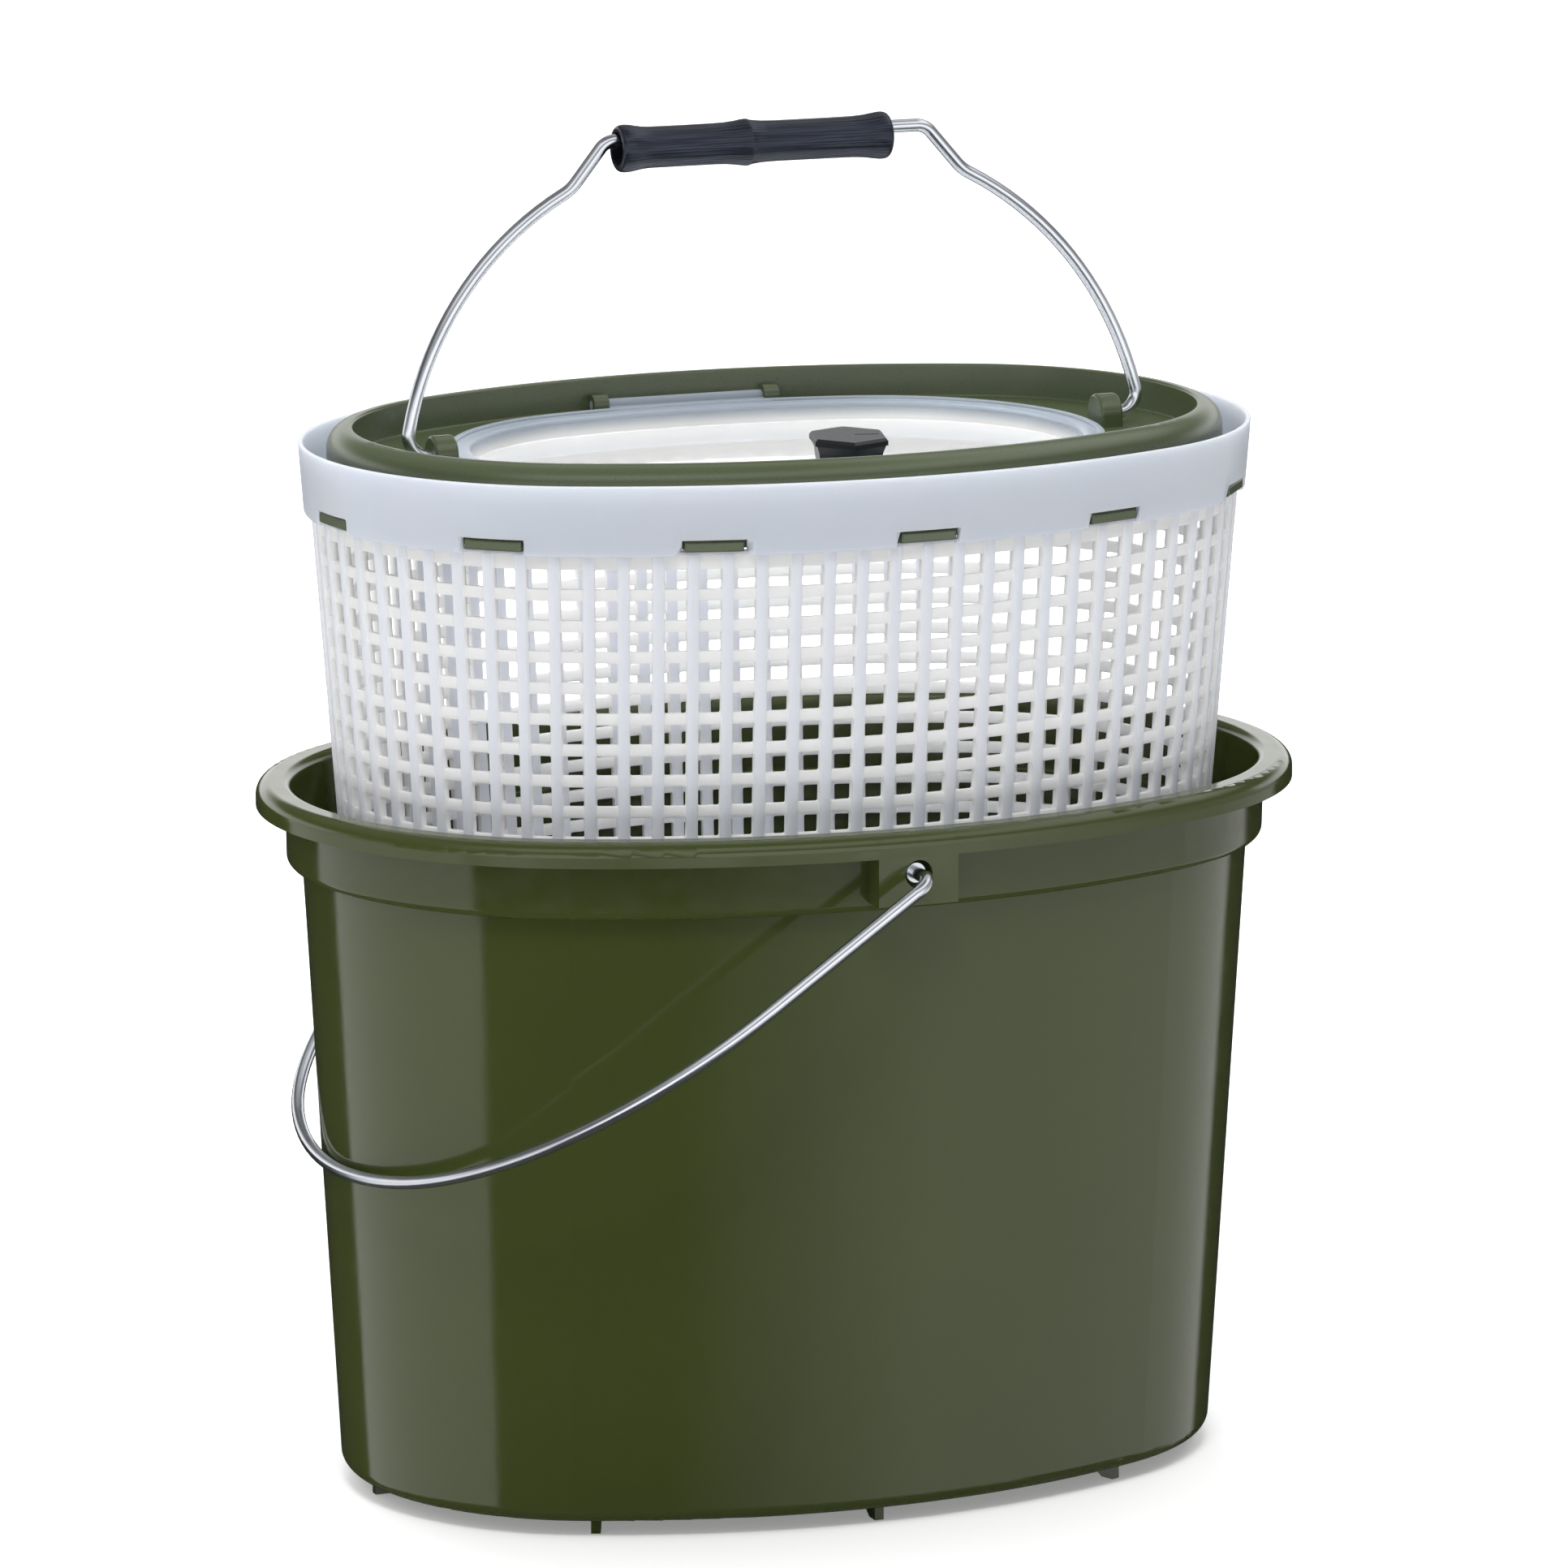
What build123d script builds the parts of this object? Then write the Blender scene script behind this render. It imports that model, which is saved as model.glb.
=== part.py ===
"""Oval bait bucket with a lift-out flow-through basket.

Frame: millimetres, +Z up, origin on the resting plane under the middle of the bucket.
+X runs along the oval, -Y is the front. The basket stands lifted out of the bucket, so
every height above BASKET_Z moves with LIFT, and LIFT = 0 seats the basket on its ledge.

Walls that go round the oval are four revolves of one section, because the oval is four
tangent arcs: an inset moves every arc by the same amount and keeps its centre. A point of
a section is (inset from the oval's edge, height).
"""

import math
import os

from build123d import *

# ---------------------------------------------------------------- driving dimensions
# Bucket
RIM_LENGTH = 360.0
RIM_WIDTH = 253.0
RIM_END_RADIUS = 112.0  # of the rim's outer edge, at each end of the oval
RIM_HEIGHT = 241.0  # top of the rim above the resting plane
RIM_OVERHANG = 9.7  # rim edge outside the neck
RIM_ROUND = 4.5
RIM_INNER_ROUND = 3.0
SKIRT_DEPTH = 8.0  # how far the rim hangs down outside
BUCKET_WALL = 2.3
BUCKET_FLOOR = 2.6
BUCKET_BASE_ROUND = 5.0
SHOULDER_HEIGHT = 213.5  # underside of the step below the neck
SHOULDER_STEP = 5.2  # body inside the neck
SHOULDER_ROUND = 2.6
NECK_DRAFT = 1.5  # degrees
BODY_DRAFT = 3.2  # degrees
SMALL_ROUND = 0.8

FOOT_COUNT = 8
FOOT_HEIGHT = 5.0
FOOT_THICKNESS = 3.2
FOOT_FLAT = 5.0
FOOT_LENGTH = 13.0
FOOT_INSET = 6.5  # foot inside the edge of the base

EAR_WIDTH = 28.0
EAR_DEPTH = 16.0  # below the skirt
EAR_WALL = 2.5
EAR_HOLE_RADIUS = 4.75
EAR_PIVOT_DROP = 5.7  # pivot below the skirt's edge

# Bucket bail
WIRE_RADIUS = 2.2
BUCKET_BAIL_REACH = 196.3  # pivot to crown
BUCKET_BAIL_SIDE_GAP = 11.5  # leg's middle outside the ear
BUCKET_BAIL_CROWN_RADIUS = 165.0
BUCKET_BAIL_CORNER_RADIUS = 125.0
BAIL_BEND_RADIUS = 6.5
BAIL_HEAD_RADIUS = 3.3  # flattened wire end behind the ear
BAIL_HEAD_LENGTH = 2.5
BAIL_HEAD_GAP = 0.4
BAIL_REST_GAP = 0.15  # crown to the bucket's end wall

# Basket
LIFT = 116.5  # how far the basket is lifted off its ledge
SEAT_GAP = 0.3
BAND_HEIGHT = 23.6
BAND_INSET = 17.0  # lower edge of the band, from the bucket's rim edge
BAND_DRAFT = 4.4  # degrees
BAND_WALL = 1.8
BAND_LEDGE = 1.4
LATTICE_STEP = 2.4  # lattice inside the band
LATTICE_WALL = 3.0
LATTICE_DRAFT = 4.4  # degrees
BASKET_DEPTH = 178.0  # band's lower edge to the underside of the floor
BASKET_FLOOR = 2.4
BASKET_BASE_ROUND = 3.0
WINDOW_COLUMNS = 48
WINDOW_ROWS = 9
BAR_WIDTH = 5.0
HOOP_HEIGHT = 4.6
WINDOW_TOP_MARGIN = 3.0
WINDOW_BOTTOM_MARGIN = 11.0
FLOOR_HOLE_LENGTH = 20.0
FLOOR_HOLE_WIDTH = 12.0
FLOOR_HOLE_PITCH_X = 30.0
FLOOR_HOLE_PITCH_Y = 30.0
FLOOR_HOLES_X = 7
FLOOR_HOLES_Y = 3

# Collar
COLLAR_HEIGHT = 28.5  # crest above the band's lower edge
COLLAR_GAP = 7.8  # roll inside the band's lower edge
ROLL_WIDTH = 8.7
ROLL_OUTER_ROUND = 7.2
ROLL_INNER_ROUND = 1.0
ROLL_HOLLOW_ROUND = 4.0  # under the roll
COLLAR_WALL = 2.0
RECESS_DEPTH = 11.3  # crest down to the deck
RECESS_DRAFT = 2.5  # degrees
DECK_THICKNESS = 2.4
DECK_STUB = 6.0
TAB_COUNT = 12
TAB_WIDTH = 19.4
TAB_HEIGHT = 3.3
TAB_CHAMFER = 0.5
TAB_START = 10.5  # first tab's distance along the band from the end of the oval
TAB_RECESS = 0.3  # tab's face behind the band's face
SLOT_SIDE_GAP = 1.0
SLOT_TOP_GAP = 0.7
TAB_SEAT_GAP = 0.1

LUG_INSET = 26.3  # middle of the bail lug inside the foot of the recess
LUG_THICKNESS = 8.1
LUG_WIDTH = 13.3
LUG_PIVOT_HEIGHT = 4.0  # pivot above the deck
LUG_END_WALL = 1.6  # behind the blind bore
LUG_ROUND = 1.2
RUNNING_GAP = 0.1  # radial, between a pin and its bore

HINGE_SPACING = 62.6  # between the middles of the hinge bosses
HINGE_Y = 88.5
HINGE_BOSS_WIDTH = 5.4
HINGE_BOSS_RADIUS = 3.6
HINGE_PIN_RADIUS = 1.5
HINGE_BARREL_RADIUS = 1.9
HINGE_HEIGHT = 2.3  # hinge axis above the deck
HINGE_SIDE_GAP = 0.3

# Basket bail and grip
BASKET_BAIL_REACH = 101.0
BASKET_BAIL_FOOT_GAP = 12.8  # foot of the leg outside the middle of the lug
BASKET_BAIL_LEG_BOW = 12.9  # middle of the leg outside the line from foot to shoulder
LEG_STRAIGHT = 9.2  # foot of the leg, below its arc
SHOULDER_DROP = 15.6  # shoulder below the top
SHOULDER_STRAIGHT = 3.3
SHOULDER_RISE = 50.0  # degrees, slope of the step up to the top
SHOULDER_BEND_RADIUS = 14.0
TOP_BEND_RADIUS = 7.0
BAIL_LEAN = 6.0  # degrees, back from upright
BAIL_END_GAP = 0.4  # wire end to the bottom of its bore
GRIP_LENGTH = 97.0
GRIP_SLIDE = -5.0  # grip off the middle of the bail
GRIP_PLAY = 3.9  # grip's end to the bail's bend, when it has slid that far
GRIP_BORE_RADIUS = 5.3
GRIP_BODY_RADIUS = 6.9
GRIP_END_RADIUS = 8.0
GRIP_END_ROUND = 2.2
GRIP_END_LENGTH = 6.0
GRIP_KNUCKLE_RADIUS = 7.9
GRIP_KNUCKLE_LENGTH = 13.0
GRIP_HANG_GAP = 0.3

# Lid
LID_LENGTH = 226.0
LID_WIDTH = 161.0
LID_END_RADIUS = 76.5
LID_WALL = 1.5
LID_SEAT_GAP = 0.3
LID_BEAD_WIDTH = 2.4
LID_BEAD_HEIGHT = 0.9
LID_FLANGE_WIDTH = 7.5
LID_DISH_DEPTH = 6.0  # deck down to the underside of the dish
LID_DISH_LEAN = 1.2  # dish wall's foot inside its top
OPENING_GAP = 0.8  # dish wall to the deck's opening

# Knob and latch tongue
KNOB_Y = -64.0
KNOB_HEIGHT = 30.7  # top above the band's lower edge
KNOB_LENGTH = 36.0
KNOB_WIDTH = 24.2
KNOB_BASE_LENGTH = 30.0
KNOB_BASE_WIDTH = 20.0
KNOB_WAIST = 1.2  # how little the knob has flared halfway up
KNOB_UNDERCUT = 0.6  # sides stand in below the top's edge
KNOB_SEAT_GAP = 0.2
KNOB_NECK_RADIUS = 7.0
KNOB_FLANGE_GAP = 0.7  # head above the lid's bead
KNOB_RIM = 2.4  # straight side below the top face
KNOB_CHAMFER = 0.9
KNOB_TURN = -15.0  # degrees from pointing straight to the front
KNOB_MARK_LENGTH = 8.0
KNOB_MARK_WIDTH = 1.0
KNOB_MARK_DEPTH = 0.5
STEM_RADIUS = 4.0
TONGUE_LENGTH = 18.0
TONGUE_WIDTH = 10.0
TONGUE_THICKNESS = 2.4
TONGUE_HUB_RADIUS = 7.0
TONGUE_GAP = 0.2  # below the dish
TONGUE_LIP_GAP = 0.4  # below the lip
STEM_TIP = 1.0

# ---------------------------------------------------------------- worked-out heights
SKIRT_Z = RIM_HEIGHT - SKIRT_DEPTH
LEDGE_Z = SHOULDER_HEIGHT + BUCKET_WALL
EAR_PIVOT_Z = SKIRT_Z - EAR_PIVOT_DROP
BASKET_Z = LEDGE_Z + SEAT_GAP + LIFT  # the band's lower edge
CREST_Z = BASKET_Z + COLLAR_HEIGHT
DECK_Z = CREST_Z - RECESS_DEPTH
LUG_PIVOT_Z = DECK_Z + LUG_PIVOT_HEIGHT
LID_Z = DECK_Z + LID_SEAT_GAP
DISH_Z = DECK_Z - LID_DISH_DEPTH
HINGE_Z = DECK_Z + HINGE_HEIGHT
KNOB_TOP_Z = BASKET_Z + KNOB_HEIGHT

# ---------------------------------------------------------------- worked-out insets
NECK_INSET = RIM_OVERHANG
NECK_FOOT_INSET = NECK_INSET + (SKIRT_Z - SHOULDER_HEIGHT) * math.tan(math.radians(NECK_DRAFT))
BODY_INSET = NECK_FOOT_INSET + SHOULDER_STEP
BASE_INSET = BODY_INSET + (SHOULDER_HEIGHT - FOOT_HEIGHT) * math.tan(math.radians(BODY_DRAFT))
BAND_TOP_INSET = BAND_INSET - BAND_HEIGHT * math.tan(math.radians(BAND_DRAFT))
LATTICE_INSET = BAND_INSET + LATTICE_STEP
LATTICE_FOOT_INSET = LATTICE_INSET + BASKET_DEPTH * math.tan(math.radians(LATTICE_DRAFT))
ROLL_INSET = BAND_INSET + COLLAR_GAP
RECESS_INSET = ROLL_INSET + ROLL_WIDTH
RECESS_FOOT_INSET = RECESS_INSET + RECESS_DEPTH * math.tan(math.radians(RECESS_DRAFT))
LUG_X = RIM_LENGTH / 2 - RECESS_FOOT_INSET - LUG_INSET


class Oval:
    """Four tangent arcs about fixed centres, with an outer edge to inset from."""

    def __init__(self, length, width, end_radius):
        self.end_radius = end_radius
        self.end_centre = length / 2 - end_radius
        rise = width / 2 - end_radius
        self.side_centre = (self.end_centre**2 - rise**2) / (2 * rise)
        self.side_radius = width / 2 + self.side_centre
        self.join = math.degrees(math.atan2(self.side_centre, self.end_centre))

    def arcs(self, inset=0.0):
        """(centre, radius, start angle, sweep) of the four arcs, anticlockwise."""
        end = self.end_radius - inset
        side = self.side_radius - inset
        open_angle = 180 - 2 * self.join
        return [
            ((self.end_centre, 0), end, -self.join, 2 * self.join),
            ((0, -self.side_centre), side, self.join, open_angle),
            ((-self.end_centre, 0), end, 180 - self.join, 2 * self.join),
            ((0, self.side_centre), side, 180 + self.join, open_angle),
        ]

    def draw(self, inset=0.0):
        """Draws the closed outline into the line builder that calls it."""
        for centre, radius, start, sweep in self.arcs(inset):
            CenterArc(centre, radius, start, sweep)

    def plate(self, inset, bottom, thickness, mode=Mode.ADD):
        """A flat plate of the oval's shape, for the part that is being built."""
        with BuildSketch(Plane.XY.offset(bottom)) as flat:
            with BuildLine():
                self.draw(inset)
            make_face()
        extrude(flat.sketch, amount=thickness, mode=mode)

    def wall(self, section, rounds, mode=Mode.ADD):
        """A closed section of (inset, height) points carried round the oval."""
        for (x, y), radius, start, sweep in self.arcs():
            outward = Vector(1, 0, 0).rotate(Axis.Z, start)
            upright = Plane(origin=(x, y, 0), x_dir=outward, z_dir=outward.cross(Vector(0, 0, 1)))
            with BuildSketch(upright) as profile:
                with BuildLine():
                    corners = [(radius - inset, height) for inset, height in section]
                    FilletPolyline(*corners, radius=rounds, close=True)
                make_face()
            revolve(profile.sketch, axis=Axis((x, y, 0), (0, 0, 1)), revolution_arc=sweep, mode=mode)

    def spots(self, count, first=0.0, spaced_at=BAND_INSET):
        """(centre, angle, radius of the edge's arc) at even steps along the outline at spaced_at.

        The steps start at the +X end, first further round, and go anticlockwise.
        """
        arcs = self.arcs(spaced_at)
        lengths = [radius * math.radians(sweep) for _, radius, _, sweep in arcs]
        found = []
        for index in range(count):
            distance = (lengths[0] / 2 + first + sum(lengths) * index / count) % sum(lengths)
            for (centre, radius, start, sweep), length in zip(arcs, lengths):
                if distance <= length:
                    found.append((centre, start + sweep * distance / length, radius + spaced_at))
                    break
                distance -= length
        return found

    def stations(self, inset, height, count, first=0.0, spaced_at=BAND_INSET):
        """Level planes at even steps along the wall, local x outward."""
        planes = []
        for (x, y), angle, radius in self.spots(count, first, spaced_at):
            outward = Vector(1, 0, 0).rotate(Axis.Z, angle)
            spot = Vector(x, y, height) + outward * (radius - inset)
            planes.append(Plane(origin=spot, x_dir=outward, z_dir=(0, 0, 1)))
        return planes

    def windows(self, inset, bottom, height, depth, count, bar, first=0.0):
        """Cutters for one row of windows, whose sides stand square to the wall."""
        arcs = self.arcs(BAND_INSET)
        pitch = sum(radius * math.radians(sweep) for _, radius, _, sweep in arcs) / count
        cutters = []
        for (x, y), angle, radius in self.spots(count, first):
            middle = radius - inset
            half_angle = (pitch / (radius - BAND_INSET) - bar / middle) / 2
            near, far = middle - depth / 2, middle + depth / 2
            flare = math.tan(half_angle)
            level = Plane(origin=(x, y, bottom), x_dir=Vector(1, 0, 0).rotate(Axis.Z, angle), z_dir=(0, 0, 1))
            with BuildSketch(level) as opening:
                with BuildLine():
                    Polyline(
                        (near, -near * flare), (far, -far * flare), (far, far * flare), (near, near * flare), close=True
                    )
                make_face()
            cutters.append(extrude(opening.sketch, amount=height, mode=Mode.PRIVATE))
        return cutters


rim_oval = Oval(RIM_LENGTH, RIM_WIDTH, RIM_END_RADIUS)
lid_oval = Oval(LID_LENGTH, LID_WIDTH, LID_END_RADIUS)


# ---------------------------------------------------------------- bucket
EAR_FACE_Y = RIM_WIDTH / 2
EAR_Z = SKIRT_Z - EAR_DEPTH
EAR_ROOT_Y = EAR_FACE_Y - NECK_FOOT_INSET - BUCKET_WALL / 2
BASE_STUB = 8.0

bucket_section = [
    (BASE_INSET, FOOT_HEIGHT),
    (BODY_INSET, SHOULDER_HEIGHT),
    (NECK_FOOT_INSET, SHOULDER_HEIGHT),
    (NECK_INSET, RIM_HEIGHT - BUCKET_WALL),
    (BUCKET_WALL, RIM_HEIGHT - BUCKET_WALL),
    (BUCKET_WALL, SKIRT_Z),
    (0, SKIRT_Z),
    (0, RIM_HEIGHT),
    (NECK_INSET + BUCKET_WALL, RIM_HEIGHT),
    (NECK_FOOT_INSET + BUCKET_WALL, LEDGE_Z),
    (BODY_INSET + BUCKET_WALL, LEDGE_Z),
    (BASE_INSET + BUCKET_WALL, FOOT_HEIGHT + BUCKET_FLOOR),
    (BASE_INSET + BUCKET_WALL + BASE_STUB, FOOT_HEIGHT + BUCKET_FLOOR),
    (BASE_INSET + BUCKET_WALL + BASE_STUB, FOOT_HEIGHT),
]
bucket_rounds = [BUCKET_BASE_ROUND, 0, SHOULDER_ROUND, 0, RIM_ROUND - BUCKET_WALL, 0, 0]
bucket_rounds += [RIM_ROUND, RIM_INNER_ROUND, 0, SMALL_ROUND, BUCKET_BASE_ROUND - BUCKET_WALL, 0, 0]

with BuildPart() as bucket:
    rim_oval.wall(bucket_section, bucket_rounds)
    rim_oval.plate(BASE_INSET + BUCKET_WALL + BASE_STUB - 1, FOOT_HEIGHT, BUCKET_FLOOR)

    # ears: a plate that carries the skirt's face down, and two cheeks back to the neck
    with BuildSketch(Plane.XY.offset(EAR_Z)) as ear_plates:
        with BuildLine():
            rim_oval.draw()
        make_face()
        with BuildLine():
            rim_oval.draw(BUCKET_WALL)
        make_face(mode=Mode.SUBTRACT)
        Rectangle(EAR_WIDTH, RIM_WIDTH, mode=Mode.INTERSECT)
    extrude(amount=EAR_DEPTH + SKIRT_DEPTH - RIM_ROUND - SMALL_ROUND)
    cheek_length = EAR_FACE_Y - BUCKET_WALL / 2 - EAR_ROOT_Y
    cheek_y = EAR_ROOT_Y + cheek_length / 2
    with BuildSketch(Plane.XY.offset(EAR_Z)) as ear_cheeks:
        for side in (-1, 1):
            for end in (-1, 1):
                with Locations((end * (EAR_WIDTH - EAR_WALL) / 2, side * cheek_y)):
                    Rectangle(EAR_WALL, cheek_length)
    extrude(amount=RIM_HEIGHT - BUCKET_WALL * 0.8 - EAR_Z)
    for side in (-1, 1):
        with Locations(Plane(origin=(0, side * (EAR_FACE_Y - BUCKET_WALL / 2), EAR_PIVOT_Z), z_dir=(0, 1, 0))):
            Cylinder(EAR_HOLE_RADIUS, BUCKET_WALL * 2, mode=Mode.SUBTRACT)

    # feet: radial fins, upright outside and sloping up to the base inside
    foot_inset = BASE_INSET + FOOT_INSET
    for station in rim_oval.stations(foot_inset, 0, FOOT_COUNT, spaced_at=foot_inset):
        fin = Plane(origin=station.origin, x_dir=station.x_dir, z_dir=station.x_dir.cross(Vector(0, 0, 1)))
        with BuildSketch(fin):
            with BuildLine():
                Polyline(
                    (0, 0),
                    (0, FOOT_HEIGHT + BUCKET_FLOOR / 2),
                    (-FOOT_LENGTH, FOOT_HEIGHT + BUCKET_FLOOR / 2),
                    (-FOOT_LENGTH, FOOT_HEIGHT),
                    (-FOOT_FLAT, 0),
                    close=True,
                )
            make_face()
        extrude(amount=FOOT_THICKNESS / 2, both=True)

bucket.part.label = "bucket"


# ---------------------------------------------------------------- bucket bail
# The crown rests on the end wall of the bucket, which sets the angle that it hangs at.
body_draft = math.radians(BODY_DRAFT)
wall_reach = (
    WIRE_RADIUS
    + BAIL_REST_GAP
    + (RIM_LENGTH / 2 - BODY_INSET) * math.cos(body_draft)
    + (EAR_PIVOT_Z - SHOULDER_HEIGHT) * math.sin(body_draft)
)
hang_angle = math.asin(wall_reach / BUCKET_BAIL_REACH) - body_draft

leg_y = EAR_FACE_Y + BUCKET_BAIL_SIDE_GAP
corner_y = leg_y - BUCKET_BAIL_CORNER_RADIUS
crown_offset = BUCKET_BAIL_REACH - BUCKET_BAIL_CROWN_RADIUS
arc_step = BUCKET_BAIL_CROWN_RADIUS - BUCKET_BAIL_CORNER_RADIUS
crown_half_angle = math.degrees(math.asin(corner_y / arc_step))
corner_offset = crown_offset + arc_step * math.cos(math.radians(crown_half_angle))
corner_sweep = 90 - crown_half_angle
head_y = EAR_FACE_Y - BUCKET_WALL - BAIL_HEAD_GAP - BAIL_HEAD_LENGTH / 2

# local x is +Y, and local y runs from the pivot out to the crown
down = Vector(-math.sin(hang_angle), 0, -math.cos(hang_angle))
bail_plane = Plane(origin=(0, 0, EAR_PIVOT_Z), x_dir=(0, 1, 0), z_dir=Vector(0, 1, 0).cross(down))

with BuildPart() as bucket_bail:
    with BuildLine(bail_plane) as bucket_bail_path:
        FilletPolyline((head_y, 0), (leg_y, 0), (leg_y, corner_offset), radius=BAIL_BEND_RADIUS)
        CenterArc((corner_y, corner_offset), BUCKET_BAIL_CORNER_RADIUS, 0, corner_sweep)
        CenterArc((0, crown_offset), BUCKET_BAIL_CROWN_RADIUS, corner_sweep, 180 - 2 * corner_sweep)
        CenterArc((-corner_y, corner_offset), BUCKET_BAIL_CORNER_RADIUS, 180 - corner_sweep, corner_sweep)
        FilletPolyline((-leg_y, corner_offset), (-leg_y, 0), (-head_y, 0), radius=BAIL_BEND_RADIUS)
    bucket_wire = bucket_bail_path.wire()
    with BuildSketch(Plane(origin=bucket_wire @ 0, z_dir=bucket_wire % 0)):
        Circle(WIRE_RADIUS)
    sweep(path=bucket_wire)
    for side in (1, -1):
        with Locations(Plane(origin=(0, side * head_y, EAR_PIVOT_Z), z_dir=(0, 1, 0))):
            Cylinder(BAIL_HEAD_RADIUS, BAIL_HEAD_LENGTH)

bucket_bail.part.label = "bucket_bail"


# ---------------------------------------------------------------- basket
BASKET_FLOOR_Z = BASKET_Z - BASKET_DEPTH
basket_section = [
    (LATTICE_FOOT_INSET, BASKET_FLOOR_Z),
    (LATTICE_INSET, BASKET_Z),
    (BAND_INSET, BASKET_Z),
    (BAND_TOP_INSET, BASKET_Z + BAND_HEIGHT),
    (BAND_TOP_INSET + BAND_WALL, BASKET_Z + BAND_HEIGHT),
    (BAND_INSET + BAND_WALL, BASKET_Z + BAND_LEDGE),
    (LATTICE_INSET + LATTICE_WALL, BASKET_Z + BAND_LEDGE),
    (LATTICE_FOOT_INSET + LATTICE_WALL, BASKET_FLOOR_Z + BASKET_FLOOR),
    (LATTICE_FOOT_INSET + LATTICE_WALL + BASE_STUB, BASKET_FLOOR_Z + BASKET_FLOOR),
    (LATTICE_FOOT_INSET + LATTICE_WALL + BASE_STUB, BASKET_FLOOR_Z),
]
basket_rounds = [BASKET_BASE_ROUND, 0, BAND_LEDGE * 0.8, 0, 0, 0, 0, 0, 0, 0]

row_pitch = (BASKET_DEPTH - WINDOW_TOP_MARGIN - WINDOW_BOTTOM_MARGIN) / WINDOW_ROWS
slot_height = TAB_HEIGHT + TAB_SEAT_GAP + SLOT_TOP_GAP

with BuildPart() as basket:
    rim_oval.wall(basket_section, basket_rounds)
    rim_oval.plate(LATTICE_FOOT_INSET + LATTICE_WALL + BASE_STUB - 1, BASKET_FLOOR_Z, BASKET_FLOOR)
    with Locations((0, 0, BASKET_FLOOR_Z + BASKET_FLOOR / 2)):
        with GridLocations(FLOOR_HOLE_PITCH_X, FLOOR_HOLE_PITCH_Y, FLOOR_HOLES_X, FLOOR_HOLES_Y):
            Box(FLOOR_HOLE_LENGTH, FLOOR_HOLE_WIDTH, BASKET_FLOOR * 2, mode=Mode.SUBTRACT)

    # windows between the upright bars and the hoops
    windows = []
    for row in range(WINDOW_ROWS):
        bottom = BASKET_Z - WINDOW_TOP_MARGIN - (row + 1) * row_pitch + HOOP_HEIGHT
        height = row_pitch - HOOP_HEIGHT
        fall = BASKET_Z - bottom - height / 2
        middle_inset = LATTICE_INSET + LATTICE_WALL / 2 + fall * math.tan(math.radians(LATTICE_DRAFT))
        windows += rim_oval.windows(
            middle_inset, bottom, height, LATTICE_WALL * 2.4, WINDOW_COLUMNS, BAR_WIDTH, TAB_START
        )
    add(windows, mode=Mode.SUBTRACT)

    # slots for the collar's tabs, on the ledge behind the band
    slot_z = BASKET_Z + BAND_LEDGE + slot_height / 2
    with Locations(*rim_oval.stations(BAND_INSET, slot_z, TAB_COUNT, TAB_START)):
        Box(BAND_WALL * 3, TAB_WIDTH + 2 * SLOT_SIDE_GAP, slot_height, mode=Mode.SUBTRACT)

basket.part.label = "basket"


# ---------------------------------------------------------------- collar
TAB_Z = BASKET_Z + BAND_LEDGE + TAB_SEAT_GAP
collar_section = [
    (ROLL_INSET, TAB_Z),
    (ROLL_INSET, CREST_Z),
    (RECESS_INSET, CREST_Z),
    (RECESS_FOOT_INSET, DECK_Z),
    (RECESS_FOOT_INSET + DECK_STUB, DECK_Z),
    (RECESS_FOOT_INSET + DECK_STUB, DECK_Z - DECK_THICKNESS),
    (RECESS_FOOT_INSET - COLLAR_WALL, DECK_Z - DECK_THICKNESS),
    (RECESS_INSET - COLLAR_WALL, CREST_Z - COLLAR_WALL),
    (ROLL_INSET + COLLAR_WALL, CREST_Z - COLLAR_WALL),
    (ROLL_INSET + COLLAR_WALL, TAB_Z),
]
collar_rounds = [0, ROLL_OUTER_ROUND, ROLL_INNER_ROUND, SMALL_ROUND, 0, 0, 0, 0, ROLL_HOLLOW_ROUND, 0]

# a tab, with local x outward from the band's lower edge
tab_reach = ROLL_INSET + COLLAR_WALL / 2 - BAND_INSET
with BuildPart() as tab:
    with BuildSketch():
        with Locations(((-tab_reach - TAB_RECESS) / 2, 0)):
            Rectangle(tab_reach - TAB_RECESS, TAB_WIDTH)
    extrude(amount=TAB_HEIGHT)
    chamfer(tab.faces().sort_by(Axis.X)[-1].edges(), TAB_CHAMFER)

# a lug for the basket's bail, with local x outward from its middle; its foot reaches into the deck
root = DECK_THICKNESS / 2
with BuildPart() as lug:
    with BuildSketch(Plane.YZ.offset(-LUG_THICKNESS / 2)):
        Circle(LUG_WIDTH / 2)
        with Locations((0, -LUG_WIDTH / 2)):
            Rectangle(LUG_WIDTH, LUG_WIDTH)
        with Locations((0, -LUG_PIVOT_HEIGHT - root - LUG_WIDTH)):
            Rectangle(LUG_WIDTH * 2, LUG_WIDTH * 2, mode=Mode.SUBTRACT)
    extrude(amount=LUG_THICKNESS)
    lug_foot = lug.faces().sort_by(Axis.Z)[0]
    fillet(lug.edges() - lug_foot.edges(), LUG_ROUND)
    with Locations(Plane.YZ.offset(LUG_END_WALL)):
        Cylinder(WIRE_RADIUS + RUNNING_GAP, LUG_THICKNESS, mode=Mode.SUBTRACT)

opening_inset = LID_FLANGE_WIDTH - LID_WALL - OPENING_GAP
lip_bottom = DISH_Z + TONGUE_LIP_GAP - TONGUE_GAP

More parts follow.
